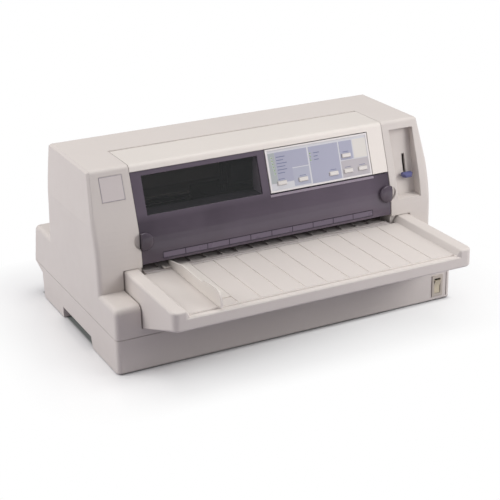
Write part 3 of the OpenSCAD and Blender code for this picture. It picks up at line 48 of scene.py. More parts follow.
# the tower's face: a slope that bends into an arc lower down, measured from the case front
LEAN = math.radians(18.5)
FACE_Y, FACE_Z = 0.085, 0.239       # upper edge of the slope
BEND_Z = 0.172                      # lower edge of the slope
ARC_R = 0.189
ARC_Y = FACE_Y - (FACE_Z - BEND_Z) * math.tan(LEAN) + ARC_R * math.cos(LEAN)
ARC_Z = BEND_Z - ARC_R * math.sin(LEAN)

# clear pane of the window, in x and in distance down the slope
PANE_X = (-0.171, -0.009)
PANE_S = (0.0155, 0.0655)


# ---------------------------------------------------------------- shader helpers

def lin(r, g, b):
    """The linear colour of 0 to 255 screen values."""
    def one(v):
        v /= 255.0
        return v / 12.92 if v <= 0.04045 else ((v + 0.055) / 1.055) ** 2.4
    return (one(r), one(g), one(b), 1.0)


def tone(colour, k):
    """The colour, k times as bright."""
    return tuple(min(1, v * k) for v in colour[:3]) + (1.0,)


def new_material(name):
    m = bpy.data.materials.new(name)
    m.use_nodes = True
    nt = m.node_tree
    nt.nodes.clear()
    out = nt.nodes.new("ShaderNodeOutputMaterial")
    bsdf = nt.nodes.new("ShaderNodeBsdfPrincipled")
    nt.links.new(bsdf.outputs[0], out.inputs[0])
    return m, nt, bsdf


def fill(nt, socket, value):
    """Links the socket to another one, or sets it."""
    if hasattr(value, "is_linked"):
        nt.links.new(value, socket)
    else:
        socket.default_value = value


def coords(nt, stretch=None):
    """Place on the object, stretched where that is given."""
    tc = nt.nodes.new("ShaderNodeTexCoord")
    if stretch is None:
        return tc.outputs["Object"]
    mp = nt.nodes.new("ShaderNodeMapping")
    mp.inputs["Scale"].default_value = stretch
    nt.links.new(tc.outputs["Object"], mp.inputs[0])
    return mp.outputs[0]


def split(nt, vector):
    """The x, y and z of a vector."""
    sep = nt.nodes.new("ShaderNodeSeparateXYZ")
    nt.links.new(vector, sep.inputs[0])
    return sep.outputs


def noise(nt, at, scale, detail=2.0):
    n = nt.nodes.new("ShaderNodeTexNoise")
    n.inputs["Scale"].default_value = scale
    n.inputs["Detail"].default_value = detail
    nt.links.new(at, n.inputs["Vector"])
    return n.outputs[0]


def mapped(nt, value, low, high, start=0.3, end=0.7):
    """low up to start, high from end on, and a ramp between them."""
    n = nt.nodes.new("ShaderNodeMapRange")
    n.inputs["From Min"].default_value = start
    n.inputs["From Max"].default_value = end
    n.inputs["To Min"].default_value = low
    n.inputs["To Max"].default_value = high
    nt.links.new(value, n.inputs["Value"])
    return n.outputs[0]


MIX_SHARE, MIX_A, MIX_B, MIX_RESULT = 0, 6, 7, 2    # colour sockets of the Mix node


def mixed(nt, share, a, b):
    """Colour a where the share is 0, and b where it is 1."""
    n = nt.nodes.new("ShaderNodeMix")
    n.data_type = "RGBA"
    fill(nt, n.inputs[MIX_SHARE], share)
    fill(nt, n.inputs[MIX_A], a)
    fill(nt, n.inputs[MIX_B], b)
    return n.outputs[MIX_RESULT]


def math_node(nt, op, a, b=None):
    n = nt.nodes.new("ShaderNodeMath")
    n.operation = op
    fill(nt, n.inputs[0], a)
    if b is not None:
        fill(nt, n.inputs[1], b)
    return n.outputs[0]


def plus(nt, a, b):
    return math_node(nt, "ADD", a, b)


def minus(nt, a, b):
    return math_node(nt, "SUBTRACT", a, b)


def times(nt, a, b):
    return math_node(nt, "MULTIPLY", a, b)


def larger(nt, a, b):
    return math_node(nt, "MAXIMUM", a, b)


def between(nt, value, low, high, soft):
    """1 from low to high and 0 outside, over a soft border."""
    above = mapped(nt, value, 0, 1, low - soft, low + soft)
    below = mapped(nt, value, 1, 0, high - soft, high + soft)
    return times(nt, above, below)


def along(nt, at, direction):
    """Distance of a place along a direction."""
    dot = nt.nodes.new("ShaderNodeVectorMath")
    dot.operation = "DOT_PRODUCT"
    nt.links.new(at, dot.inputs[0])
    fill(nt, dot.inputs[1], direction)
    return dot.outputs["Value"]


def soft_edges(nt, bsdf, height, strength, distance, radius):
    """Grain on the surface, over edges that a mould leaves slightly round.

    Returns 1 on an edge and 0 away from edges.
    """
    bump = nt.nodes.new("ShaderNodeBump")
    bump.inputs["Strength"].default_value = strength
    bump.inputs["Distance"].default_value = distance
    nt.links.new(height, bump.inputs["Height"])
    bevel = nt.nodes.new("ShaderNodeBevel")
    bevel.samples = 4
    bevel.inputs["Radius"].default_value = radius
    nt.links.new(bevel.outputs[0], bump.inputs["Normal"])
    nt.links.new(bump.outputs[0], bsdf.inputs["Normal"])
    geo = nt.nodes.new("ShaderNodeNewGeometry")
    flatness = along(nt, bevel.outputs[0], geo.outputs["Normal"])
    return mapped(nt, flatness, 1.0, 0.0, 0.75, 1.0)


def set_rough(nt, bsdf, source, low, high, start=0.3, end=0.7):
    nt.links.new(mapped(nt, source, low, high, start, end), bsdf.inputs["Roughness"])


# ---------------------------------------------------------------- kinds of material

def plastic(name, rgb, rough=0.48, grain=1500.0, bump=0.10, radius=0.0010, wear=0.24, spec=0.4,
            painted_light=None):
    """Moulded plastic, grained and worn paler on its edges. Its last argument, where given, is painted
    light: how much brighter it is where.
    """
    m, nt, b = new_material(name)
    at = coords(nt)
    col = lin(*rgb)
    deep, pale = tone(col, 0.97), tone(col, 1.03)
    blotches = noise(nt, at, 7.0, 3.0)
    fine = noise(nt, at, grain)
    edge = soft_edges(nt, b, fine, bump, 0.00012, radius)
    body = mixed(nt, mapped(nt, blotches, 0, 1), deep, pale)
    speckled = mixed(nt, mapped(nt, fine, 0, 1, 0.35, 0.65), deep, pale)
    base = mixed(nt, 0.4, body, speckled)
    colour = mixed(nt, times(nt, edge, wear), base, tone(col, 1.12))
    # painted light: brighter where the given function says
    if painted_light:
        hsv = nt.nodes.new("ShaderNodeHueSaturation")
        nt.links.new(painted_light(nt), hsv.inputs["Value"])
        nt.links.new(colour, hsv.inputs["Color"])
        colour = hsv.outputs[0]
    nt.links.new(colour, b.inputs["Base Color"])
    set_rough(nt, b, noise(nt, at, 60.0, 3.0), rough - 0.05, rough + 0.05)
    b.inputs["Specular IOR Level"].default_value = spec
    return m


# gains of painted light: on forward faces of the cream plastic, and in the table's grooves
FRONT_LIGHT_GAIN, GROOVE_LIGHT_GAIN = 1.2, 1.42
FRONT_NORMAL_Y = (-0.95, -0.3)      # the whole gain where the normal points forward, none further round
TABLE_EDGE = (0.1890, 0.1895)       # x, on either side, where the table ends and its arms start
GROOVE_Z = (0.10505, 0.10585)       # heights just under the groove's floor and just under the table


def front_painted_light(nt):
    """Painted light: brighter where it faces forward."""
    tc = nt.nodes.new("ShaderNodeTexCoord")
    return mapped(nt, split(nt, tc.outputs["Normal"])[1], FRONT_LIGHT_GAIN, 1.0, *FRONT_NORMAL_Y)


def groove_painted_light(nt):
    """Painted light: paler in the shallow grooves of the table, between its arms, where their shade falls.
    """
    x, _, z = split(nt, coords(nt))
    on_table = mapped(nt, math_node(nt, "ABSOLUTE", x), 1, 0, *TABLE_EDGE)
    deep = between(nt, z, *GROOVE_Z, 0.00005)
    return mapped(nt, times(nt, on_table, deep), 1.0, GROOVE_LIGHT_GAIN, 0, 1)


def print_plastic(name, rgb, rough=0.36, radius=0.0002):
    """Printed sheet: hardly any grain, and no wear."""
    return plastic(name, rgb, rough=rough, bump=0.03, radius=radius, wear=0.0)


def trim_plastic(name, rgb, rough=0.4, radius=0.0001):
    """Thin lines and trim: smoother still."""
    return plastic(name, rgb, rough=rough, bump=0.02, radius=radius, wear=0.0)


def two_tone(name, near, far, pick, rough=0.42):
    """Plastic that goes from one colour to the other as pick(nt, at) goes from 0 to 1."""
    m, nt, b = new_material(name)
    at = coords(nt)
    near, far = lin(*near), lin(*far)
    spots = noise(nt, at, 30.0, 3.0)
    spotted = mapped(nt, spots, 0, 1)
    first = mixed(nt, spotted, tone(near, 0.97), tone(near, 1.03))
    second = mixed(nt, spotted, tone(far, 0.95), tone(far, 1.05))
    nt.links.new(mixed(nt, pick(nt, at), first, second), b.inputs["Base Color"])
    set_rough(nt, b, spots, rough - 0.05, rough + 0.05)
    soft_edges(nt, b, noise(nt, at, 1500.0), 0.06, 0.0001, 0.0005)
    return m


def backwards(start, end):
    """Goes from 0 to 1 between two places in y."""
    def pick(nt, at):
        return mapped(nt, split(nt, at)[1], 0, 1, start, end)
    return pick


def shaded_long_walls(nt, at):
    """0 on walls that face left or right, 1 on the others: the side walls of the well get painted light and
    the others painted shade.
    """
    geo = nt.nodes.new("ShaderNodeNewGeometry")
    sideways = math_node(nt, "ABSOLUTE", split(nt, geo.outputs["Normal"])[0])
    return mapped(nt, sideways, 1, 0, 0.4, 0.8)


# ramps of the window's painted light, in x or in distance s down the slope
LOW_S = (0.06, 0.125)               # lighter towards the lower edge
RIGHT_X = (-0.17, 0.14)             # lighter towards the right
RIGHT_END_X = (0.150, 0.180)        # where that fades again
BAND_S, BAND_X = (0.062, 0.074), (-0.002, 0.014)    # BAND_S, BAND_X = (0.062, 0.074), (-0.002, 0.014) # where the painted pale band round the pane fades
TINT_ALPHA, PANE_ALPHA = 0.88, 0.33
PANE_BORDER = 0.0004


def smoked(name):
    """Tinted acrylic: clear over the pane, hazy elsewhere, with painted light: lighter towards the right
    and the lower edge, and a pale band round the pane's ends.
    """
    m, nt, b = new_material(name)
    at = coords(nt)
    x = split(nt, at)[0]
    to_edge = (FACE_Y - MID_Y) * math.sin(LEAN) + FACE_Z * math.cos(LEAN)
    s = plus(nt, along(nt, at, (0, -math.sin(LEAN), -math.cos(LEAN))), to_edge)
    pane = times(nt, between(nt, x, *PANE_X, PANE_BORDER), between(nt, s, *PANE_S, PANE_BORDER))
    haze = noise(nt, at, 14.0, 3.0)

    dark, light = lin(64, 57, 66), lin(107, 96, 109)
    # painted light: the tint is lighter towards the lower edge and the right, and paler in a band round the
    # pane's ends
    low = mapped(nt, s, 0, 1, *LOW_S)
    right = times(nt, mapped(nt, x, 0, 1, *RIGHT_X), mapped(nt, x, 1, 0.4, *RIGHT_END_X))
    body = mixed(nt, plus(nt, times(nt, low, 0.35), times(nt, right, 0.65)), dark, light)
    band = times(nt, mapped(nt, s, 0.7, 0, *BAND_S), mapped(nt, x, 1, 0, *BAND_X))
    body = mixed(nt, band, body, lin(112, 102, 115))
    body = mixed(nt, mapped(nt, haze, 0, 0.35), body, tone(light, 1.12))
    nt.links.new(mixed(nt, pane, body, lin(56, 58, 58)), b.inputs["Base Color"])

    alpha = minus(nt, TINT_ALPHA, times(nt, pane, TINT_ALPHA - PANE_ALPHA))
    nt.links.new(alpha, b.inputs["Alpha"])
    soft_edges(nt, b, noise(nt, at, 900.0), 0.02, 0.0001, 0.0008)
    set_rough(nt, b, haze, 0.14, 0.22)
    b.inputs["Specular IOR Level"].default_value = 0.55
    return m


def metal(name, rgb, rough=0.32, stretch=(20, 400, 20)):
    """Drawn or ground metal, with fine lines across the axis that is stretched most."""
    m, nt, b = new_material(name)
    col = lin(*rgb)
    lines = noise(nt, coords(nt, stretch), 8.0, 3.0)
    blotches = noise(nt, coords(nt), 25.0, 3.0)
    colour = mixed(nt, mapped(nt, blotches, 0, 1), tone(col, 0.9), tone(col, 1.06))
    nt.links.new(colour, b.inputs["Base Color"])
    set_rough(nt, b, lines, rough - 0.07, rough + 0.1)
    soft_edges(nt, b, lines, 0.08, 0.00005, 0.0004)
    b.inputs["Metallic"].default_value = 1.0
    return m


def rubber(name, rgb, rough=0.7):
    """Dull rubber with a little dust."""
    m, nt, b = new_material(name)
    at = coords(nt)
    col = lin(*rgb)
    dust = noise(nt, at, 40.0, 4.0)
    nt.links.new(mixed(nt, mapped(nt, dust, 0, 1, 0.45, 0.75), col, tone(col, 1.7)), b.inputs["Base Color"])
    set_rough(nt, b, dust, rough - 0.05, rough + 0.1)
    soft_edges(nt, b, noise(nt, at, 2200.0), 0.25, 0.0001, 0.0005)
    return m


def lamp(name, rgb):
    """Tinted lens that lets a little light in."""
    m, nt, b = new_material(name)
    at = coords(nt)
    col = lin(*rgb)
    nt.links.new(mixed(nt, noise(nt, at, 700.0), tone(col, 0.85), tone(col, 1.1)), b.inputs["Base Color"])
    set_rough(nt, b, noise(nt, at, 300.0), 0.2, 0.35)
    b.inputs["Subsurface Weight"].default_value = 0.2
    b.inputs["Subsurface Scale"].default_value = 0.001
    return m


def board(name):
    """Circuit board, with a fine grid in place of its tracks."""
    m, nt, b = new_material(name)
    at = coords(nt)
    brick = nt.nodes.new("ShaderNodeTexBrick")
    brick.inputs["Scale"].default_value = 90.0
    brick.inputs["Color1"].default_value = lin(38, 84, 52)
    brick.inputs["Color2"].default_value = lin(30, 72, 46)
    brick.inputs["Mortar"].default_value = lin(58, 106, 70)
    brick.inputs["Mortar Size"].default_value = 0.03
    nt.links.new(at, brick.inputs["Vector"])
    nt.links.new(brick.outputs["Color"], b.inputs["Base Color"])
    set_rough(nt, b, noise(nt, at, 120.0), 0.3, 0.5)
    soft_edges(nt, b, brick.outputs["Fac"], 0.2, 0.0001, 0.0004)
    return m


def woven(name, rgb):
    """Inked fabric with fine threads."""
    m, nt, b = new_material(name)
    wave = nt.nodes.new("ShaderNodeTexWave")
    wave.inputs["Scale"].default_value = 900.0
    nt.links.new(coords(nt), wave.inputs["Vector"])
    threads = wave.outputs["Fac"]
    col = lin(*rgb)
    nt.links.new(mixed(nt, threads, col, tone(col, 2.2)), b.inputs["Base Color"])
    set_rough(nt, b, threads, 0.7, 0.9, 0, 1)
    soft_edges(nt, b, threads, 0.3, 0.0001, 0.0003)
    return m


# ---------------------------------------------------------------- materials of the nodes

CASE_RGB = (212, 205, 200)

by_slot = {
    "case_plastic": plastic("case_plastic", CASE_RGB, radius=0.0014),
    # the cream plastic is painted brighter where it faces forward: painted light
    "cream_plastic": plastic("cream_plastic", (217, 211, 205), radius=0.0008, painted_light=front_painted_light),
    "panel_plastic": plastic("panel_plastic", (232, 228, 227), rough=0.42, bump=0.05, radius=0.0006),
    "panel_print": print_plastic("panel_print", (214, 214, 218), rough=0.38, radius=0.0003),
    "key_plastic": plastic("key_plastic", (226, 221, 217), rough=0.4, bump=0.05, radius=0.0006),
    "badge_plastic": plastic("badge_plastic", (211, 203, 201), rough=0.42, bump=0.04, radius=0.0004),
    "smoked_plastic": smoked("smoked_plastic"),
    # the well's side walls are painted pale and its other walls dark: painted light and shade
    "well_plastic": two_tone("well_plastic", (222, 207, 224), (84, 78, 88), shaded_long_walls, 0.36),
    "slate_plastic": plastic("slate_plastic", (92, 94, 138), rough=0.4, bump=0.05, radius=0.0008),
    "dark_plastic": plastic("dark_plastic", (58, 56, 57), rough=0.5, radius=0.0006),
    "black_plastic": plastic("black_plastic", (30, 29, 31), rough=0.45, radius=0.0006),
    "gear_plastic": plastic("gear_plastic", (214, 210, 198), rough=0.4, bump=0.04, radius=0.0002, wear=0.0),
    "lamp_green": lamp("lamp_green", (138, 176, 108)),
    "foot_rubber": rubber("foot_rubber", (42, 42, 43)),
    "platen_rubber": rubber("platen_rubber", (36, 36, 38), 0.55),
    "belt_rubber": rubber("belt_rubber", (26, 26, 27)),
    "ribbon_fabric": woven("ribbon_fabric", (16, 16, 20)),
    "plated_steel": metal("plated_steel", (172, 170, 166), 0.38),
    "ground_steel": metal("ground_steel", (205, 206, 208), 0.2, (400, 20, 20)),
    "aluminium_metal": metal("aluminium_metal", (190, 191, 193), 0.3, (20, 20, 400)),
    "dark_metal": plastic("dark_metal", (62, 62, 64), rough=0.42, grain=700, bump=0.15, radius=0.0006,
                          spec=0.6),
    "sintered_brass": metal("sintered_brass", (176, 141, 76), 0.42, (60, 60, 60)),
    "circuit_board": board("circuit_board"),
}
by_node = {
    # the table's grooves are painted paler against their shade: painted light
    "front_tray": plastic("table_plastic", CASE_RGB, radius=0.0014, painted_light=groove_painted_light),
    # the entry guide darkens towards the back, under the cover: painted shade
    "entry_guide": two_tone("entry_plastic", (210, 202, 200), (172, 164, 164), backwards(-0.0455, -0.0255)),
    "switch_frame": plastic("switch_plastic", (190, 181, 171), radius=0.0005),
    "power_rocker": plastic("rocker_plastic", (205, 195, 172), rough=0.4, bump=0.05, radius=0.0006),
}
slot_of = {p["node"]: p["material_slot"] for p in frame["record"]["subparts"]}
for name, obj in nodes.items():
    material = by_node.get(name, by_slot[slot_of[name]])
    if not obj.material_slots:
        obj.data.materials.append(material)
    for holder in obj.material_slots:
        holder.material = material


# ---------------------------------------------------------------- making thin pieces

def on_slope(x, s, depth):
    """Place on the sloping face, at distance s down it and at a depth behind it."""
    return Vector((x, FACE_Y + depth * math.cos(LEAN) - s * math.sin(LEAN) - MID_Y,
                   FACE_Z - depth * math.sin(LEAN) - s * math.cos(LEAN)))


def on_arc(x, z, depth):
    """Place on the arc below the slope, at height z and at a depth behind it."""
    r = ARC_R - depth
    return Vector((x, ARC_Y - math.sqrt(r * r - (z - ARC_Z) ** 2) - MID_Y, z))


def room(x, s, half_x, half_s):
    """Rectangle round a middle: x from and to, then s from and to."""
    return (x - half_x, x + half_x, s - half_s, s + half_s)


def thin_cells(rects, holes, place, top, under):
    """A closed thin sheet of rectangles less the holes. place(x, s, depth) lays it on a face."""
    xs = sorted({round(v, 7) for r in rects + holes for v in r[:2]})
    ss = sorted({round(v, 7) for r in rects + holes for v in r[2:]})

    def inside(x, s, group):
        return any(r[0] < x < r[1] and r[2] < s < r[3] for r in group)

    full = set()
    for i in range(len(xs) - 1):
        for j in range(len(ss) - 1):
            mid_x, mid_s = (xs[i] + xs[i + 1]) / 2, (ss[j] + ss[j + 1]) / 2
            if inside(mid_x, mid_s, rects) and not inside(mid_x, mid_s, holes):
                full.add((i, j))

    bm = bmesh.new()
    made = {}

    def vert(i, j, depth):
        key = (i, j, depth)
        if key not in made:
            made[key] = bm.verts.new(place(xs[i], ss[j], depth))
        return made[key]

    for i, j in full:
        a, b, c, d = (i, j), (i + 1, j), (i + 1, j + 1), (i, j + 1)
        bm.faces.new([vert(*corner, top) for corner in (a, b, c, d)])
        bm.faces.new([vert(*corner, under) for corner in (a, d, c, b)])
        sides = (((i - 1, j), a, d), ((i + 1, j), b, c), ((i, j - 1), a, b), ((i, j + 1), d, c))
        for beside, p, q in sides:
            if beside not in full:
                bm.faces.new([vert(*p, top), vert(*q, top), vert(*q, under), vert(*p, under)])
    return bm


# upper and under side of each thin piece, as depths behind the face that it lies on
FIELD_DEPTHS = (0.00030, 0.00042)
BAR_DEPTHS = (0.00024, 0.00032)
BORDER_DEPTHS = (-0.00032, -0.00022)
BEVEL_DEPTHS = (0.0005, 0.0009)
CELL_DEPTHS = (0.0007, 0.0010)
LINE_DEPTHS = (0.0006, 0.0010)


def thin_piece(name, material, rects, holes, place, depths, body):
    bm = thin_cells(rects, holes, place, *depths)
    bmesh.ops.remove_doubles(bm, verts=bm.verts, dist=1e-7)
    bmesh.ops.recalc_face_normals(bm, faces=bm.faces)
    me = bpy.data.meshes.new(name)
    bm.to_mesh(me)
    bm.free()
    o = bpy.data.objects.new(name, me)
    bpy.context.scene.collection.objects.link(o)
    me.materials.append(material)
    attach(o, body)


# ---------------------------------------------------------------- print on the control panel

PANEL_X, PANEL_W = 0.003, 0.154     # left edge and width of the printed sheet
PANEL_S, PANEL_H = 0.010, 0.057     # upper edge and height, down the slope

KEY_W, KEY_H = 0.0134, 0.0052
KEY_S = 0.056                       # middle of the row of keys, down the slope
KEY_RAISE = 0.0206                  # one key sits above the row
KEY_GAP = 0.0004
KEY_BAR_HALF = 0.0045               # half the length of the bar over a key
KEY_BAR = (0.0056, 0.0049)          # its edges, above the key's middle
# share of the sheet's width, and height above the row
KEY_PLACES = ((0.118, 0), (0.323, 0), (0.624, 0), (0.77, KEY_RAISE), (0.77, 0), (0.914, 0))
keys = [(PANEL_X + u * PANEL_W, KEY_S - up) for u, up in KEY_PLACES]

# columns of lamps with bars beside them: first lamp, step, left end of the bars, their lengths
LAMP_COLUMNS = (
    ((0.008, 0.0220), (0.0004, 0.0042), 0.0145, (0.013, 0.010, 0.015, 0.012, 0.014, 0.010)),
    ((0.065, 0.0245), (0.0, 0.0045), 0.070, (0.009, 0.006, 0.007)),
)
LAMP_ROOM = 0.0013
BAR_ABOVE, BAR_BELOW = 0.0005, 0.0004   # edges of a bar, from its lamp's middle
lamps = []
bars = []
for (lamp_x, lamp_s), (step_x, step_s), bar_x, lengths in LAMP_COLUMNS:
    for i, length in enumerate(lengths):
        s = lamp_s + i * step_s
        lamps.append((PANEL_X + lamp_x + i * step_x, s))
        bars.append((PANEL_X + bar_x, PANEL_X + bar_x + length, s - BAR_ABOVE, s + BAR_BELOW))
for x, s in keys:
    bars.append((x - KEY_BAR_HALF, x + KEY_BAR_HALF, s - KEY_BAR[0], s - KEY_BAR[1]))

openings = [room(x, s, KEY_W / 2 + KEY_GAP, KEY_H / 2 + KEY_GAP) for x, s in keys]
openings += [room(x, s, LAMP_ROOM, LAMP_ROOM) for x, s in lamps]


def field(u0, u1, v0, v1):
    """Rectangle given in shares of the printed sheet."""
    return (PANEL_X + u0 * PANEL_W, PANEL_X + u1 * PANEL_W, PANEL_S + v0 * PANEL_H, PANEL_S + v1 * PANEL_H)


fields = {
    "panel_blue": ((174, 175, 193), [field(0.085, 0.235, 0.10, 0.80), field(0.235, 0.395, 0.10, 0.50),
                                     field(0.41, 0.70, 0.10, 0.95), field(0.712, 0.84, 0.10, 0.54)]),
    "panel_slate": ((180, 182, 197), [field(0.235, 0.395, 0.52, 0.93)]),
    "panel_grey": ((190, 185, 189), [field(0.712, 0.98, 0.56, 0.95)]),
    "panel_green_grey": ((178, 183, 184), [field(0.022, 0.083, 0.10, 0.80)]),
    "panel_warm": ((223, 219, 213), [field(0.85, 0.98, 0.10, 0.54)]),
}
for name, (rgb, rects) in fields.items():
    thin_piece(name, print_plastic(name, rgb), rects, openings, on_slope, FIELD_DEPTHS,
               "case")
thin_piece("panel_bars", trim_plastic("panel_bars", (112, 118, 150)), bars, [], on_slope, BAR_DEPTHS,
           "case")


# ---------------------------------------------------------------- frame round the bare badge place

BADGE = (-0.2266, -0.1964, 0.0094, 0.0406)
BADGE_LINE = 0.0006
badge_inside = (BADGE[0] + BADGE_LINE, BADGE[1] - BADGE_LINE, BADGE[2] + BADGE_LINE, BADGE[3] - BADGE_LINE)
thin_piece("badge_border", trim_plastic("badge_border", (164, 158, 166)), [BADGE], [badge_inside],
           on_slope, BORDER_DEPTHS, "case")


# ---------------------------------------------------------------- trim of the window

# painted highlight: a pale strip where the bevel along the panel's lower edge catches light
panel_end = PANEL_S + PANEL_H
bevel = (PANEL_X - 0.0010, PANEL_X + PANEL_W + 0.0015, panel_end + 0.0020, panel_end + 0.0052)
thin_piece("window_bevel_highlight", trim_plastic("window_bevel_highlight", (150, 139, 151), rough=0.3, radius=0.0004),
           [bevel], [], on_slope, BEVEL_DEPTHS, "cover")

# outlined places along the window's lower edge
PLACES, PLACE_W = 10, 0.0309
PLACE_X = 0.0833 - FIT_X            # left end of the row
PLACE_LOW, PLACE_HIGH = 0.1206, 0.1284      # heights of its edges
LINE = 0.0005                       # half the width of an outline
row_end = PLACE_X + PLACES * PLACE_W
ends = [PLACE_X + k * PLACE_W for k in range(PLACES + 1)]
cells = [(a + LINE, b - LINE, PLACE_LOW + LINE, PLACE_HIGH - LINE) for a, b in zip(ends, ends[1:])]
lines = [(PLACE_X - LINE, row_end + LINE, z - LINE, z + LINE) for z in (PLACE_LOW, PLACE_HIGH)]
lines += [(x - LINE, x + LINE, PLACE_LOW, PLACE_HIGH) for x in ends]
thin_piece("window_fields", trim_plastic("window_fields", (112, 102, 117), rough=0.3), cells, [],
           on_arc, CELL_DEPTHS, "cover")
thin_piece("window_lines", trim_plastic("window_lines", (46, 39, 50)), lines, [],
           on_arc, LINE_DEPTHS, "cover")


# ---------------------------------------------------------------- floor and light

BASE = (0.244, 0.0415, 0.150)           # about the base's footprint: half width, middle in y, half depth
UNDER_BASE = (0.2405, 0.041, 0.146)     # just inside it
FLOOR_DEEP, FLOOR_PALE = (0.90, 0.90, 0.905, 1), (0.93, 0.93, 0.935, 1)
UNDER_BASE_SHADE = (0.27, 0.30, 0.285, 1)   # UNDER_BASE_SHADE = (0.27, 0.30, 0.285, 1) # painted shade under the base, seen through the hand holds
UNDER_FADE = 0.003                      # width of the ramp to the pale floor
BOUNCE_COLOUR = (0.42, 0.39, 0.46, 1)   # what the floor throws back on the object
WHITE_GAPS = (0.0, 0.006, 0.125)        # gaps to the base where white starts, is set in, and takes over
WHITE_SHARES = (0.08, 0.52)             # shares of white once set in, at the left and at the right
WHITE_X = (-0.2, 0.1)                   # places of those shares
FLOOR_RADIUS = 9.0


def gap_to(nt, at, rectangle):
    """Distance on the floor to a rectangle, 0 inside it."""
    half_x, mid_y, half_y = rectangle
    x, y, _ = split(nt, at)
    squares = []
    for place, middle, half in ((x, 0.0, half_x), (y, mid_y, half_y)):
        off = math_node(nt, "ABSOLUTE", minus(nt, place, middle))
        past = larger(nt, minus(nt, off, half), 0.0)
        squares.append(times(nt, past, past))
    return math_node(nt, "SQRT", plus(nt, *squares))


def floor_material():
    """Pale floor: plain white far away, with soft shade and a faint reflection near the object, and painted
    shade under the base.
    """
    m, nt, b = new_material("studio_floor")
    at = coords(nt)
    grain = noise(nt, at, 3.0)
    path = nt.nodes.new("ShaderNodeLightPath").outputs
    seen = larger(nt, path["Is Camera Ray"], larger(nt, path["Is Glossy Ray"], path["Is Transmission Ray"]))

    # painted shade: the floor under the base is dark
    out_of_base = mapped(nt, gap_to(nt, at, UNDER_BASE), 0, 1, 0.0, UNDER_FADE)
    shown = mixed(nt, out_of_base, UNDER_BASE_SHADE, mixed(nt, grain, FLOOR_DEEP, FLOOR_PALE))
    nt.links.new(mixed(nt, seen, BOUNCE_COLOUR, shown), b.inputs["Base Color"])
    set_rough(nt, b, grain, 0.14, 0.18)
    b.inputs["Specular IOR Level"].default_value = 0.5

    # plain white sets in at the object's edge, more so at the right, and takes over further out: painted
    # light that lifts the rendered shade near the base, less at the left
    gap = gap_to(nt, at, BASE)
    share = mapped(nt, split(nt, at)[0], *WHITE_SHARES, *WHITE_X)
    near = times(nt, mapped(nt, gap, 0, 1, *WHITE_GAPS[:2]), share)
    far = times(nt, mapped(nt, gap, 0, 1, *WHITE_GAPS[1:]), minus(nt, 1.0, near))
    white = nt.nodes.new("ShaderNodeEmission")
    mix = nt.nodes.new("ShaderNodeMixShader")
    nt.links.new(times(nt, seen, plus(nt, near, far)), mix.inputs[0])
    nt.links.new(b.outputs[0], mix.inputs[1])
    nt.links.new(white.outputs[0], mix.inputs[2])
    out = next(n for n in nt.nodes if n.type == "OUTPUT_MATERIAL")
    nt.links.new(mix.outputs[0], out.inputs[0])
    return m


def studio_floor():
    bm = bmesh.new()
    bmesh.ops.create_circle(bm, cap_ends=True, radius=FLOOR_RADIUS, segments=96)
    me = bpy.data.meshes.new("studio_floor")
    bm.to_mesh(me)
    bm.free()
    floor = bpy.data.objects.new("studio_floor", me)
    me.materials.append(floor_material())
    bpy.context.scene.collection.objects.link(floor)


def background(nt, colour, strength):
    n = nt.nodes.new("ShaderNodeBackground")
    n.inputs["Color"].default_value = colour
    n.inputs["Strength"].default_value = strength
    return n.outputs[0]


def studio_world():
    """White to the camera, and a soft dim light to the object."""
    world = bpy.data.worlds.new("studio_world")
    bpy.context.scene.world = world
    world.use_nodes = True
    nt = world.node_tree
    nt.nodes.clear()
    path = nt.nodes.new("ShaderNodeLightPath").outputs
    mix = nt.nodes.new("ShaderNodeMixShader")
    nt.links.new(larger(nt, path["Is Camera Ray"], path["Is Transmission Ray"]), mix.inputs[0])
    nt.links.new(background(nt, (0.97, 0.95, 1.0, 1), 0.34), mix.inputs[1])
    nt.links.new(background(nt, (1, 1, 1, 1), 1.0), mix.inputs[2])
    out = nt.nodes.new("ShaderNodeOutputWorld")
    nt.links.new(mix.outputs[0], out.inputs[0])


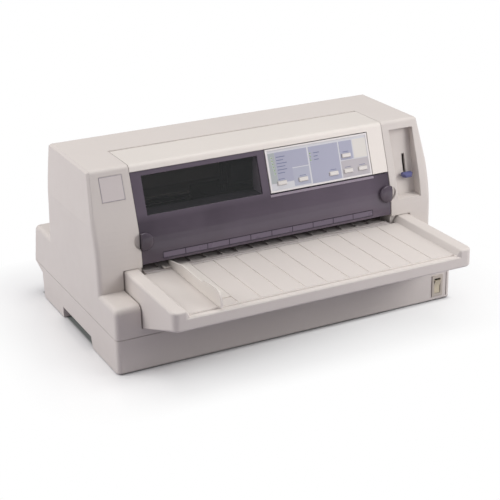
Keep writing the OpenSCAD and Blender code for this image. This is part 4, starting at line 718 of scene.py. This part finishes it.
def area_light(name, at, to, size, power, rgb, glossy=True):
    data = bpy.data.lights.new(name, "AREA")
    data.shape = "RECTANGLE"
    data.size, data.size_y = size
    data.energy = power
    data.color = rgb
    o = bpy.data.objects.new(name, data)
    bpy.context.scene.collection.objects.link(o)
    o.location = at
    o.rotation_euler = (Vector(to) - Vector(at)).to_track_quat("-Z", "Y").to_euler()
    o.visible_glossy = glossy


studio_floor()
studio_world()
area_light("top_light", (0.0, 0.15, 1.9), (0, 0.1, 0.1), (1.6, 1.2), 16, (1.0, 0.992, 0.968))
area_light("left_light", (-1.7, 0.5, 0.9), (0, 0, 0.1), (1.2, 1.2), 17.5, (1.0, 0.990, 0.975))
area_light("right_light", (1.0, -1.1, 1.0), (0.1, 0, 0.1), (0.8, 0.8), 10.8, (1.0, 0.995, 0.978),
           glossy=False)
area_light("near_light", (0.95, -0.75, 0.45), (0.15, 0, 0.1), (0.6, 0.5), 3.2, (1.0, 0.995, 0.978),
           glossy=False)


# ---------------------------------------------------------------- camera, fitted to the photograph

CAMERA_AT = (-0.5125 - FIT_X, -1.376 - MID_Y, 0.7474)
YAW, PITCH, ROLL = (math.radians(v) for v in (26.656, 21.807, -1.111))
FOCAL_PIXELS, PHOTO_PIXELS = 1324.8, 500.0
SENSOR = 36.0                           # millimetres


def photo_camera():
    ahead = Vector((math.sin(YAW) * math.cos(PITCH), math.cos(YAW) * math.cos(PITCH), -math.sin(PITCH)))
    level = Vector((math.cos(YAW), -math.sin(YAW), 0))
    above = level.cross(ahead)
    right = math.cos(ROLL) * level + math.sin(ROLL) * above
    up = -math.sin(ROLL) * level + math.cos(ROLL) * above
    data = bpy.data.cameras.new("photo_camera")
    data.sensor_width = SENSOR
    data.lens = SENSOR * FOCAL_PIXELS / PHOTO_PIXELS
    data.clip_start, data.clip_end = 0.05, 50.0
    cam = bpy.data.objects.new("photo_camera", data)
    bpy.context.scene.collection.objects.link(cam)
    pose = Matrix((right, up, -ahead)).transposed().to_4x4()
    pose.translation = Vector(CAMERA_AT)
    cam.matrix_world = pose
    bpy.context.scene.camera = cam


photo_camera()
bpy.context.scene.view_settings.view_transform = "Standard"
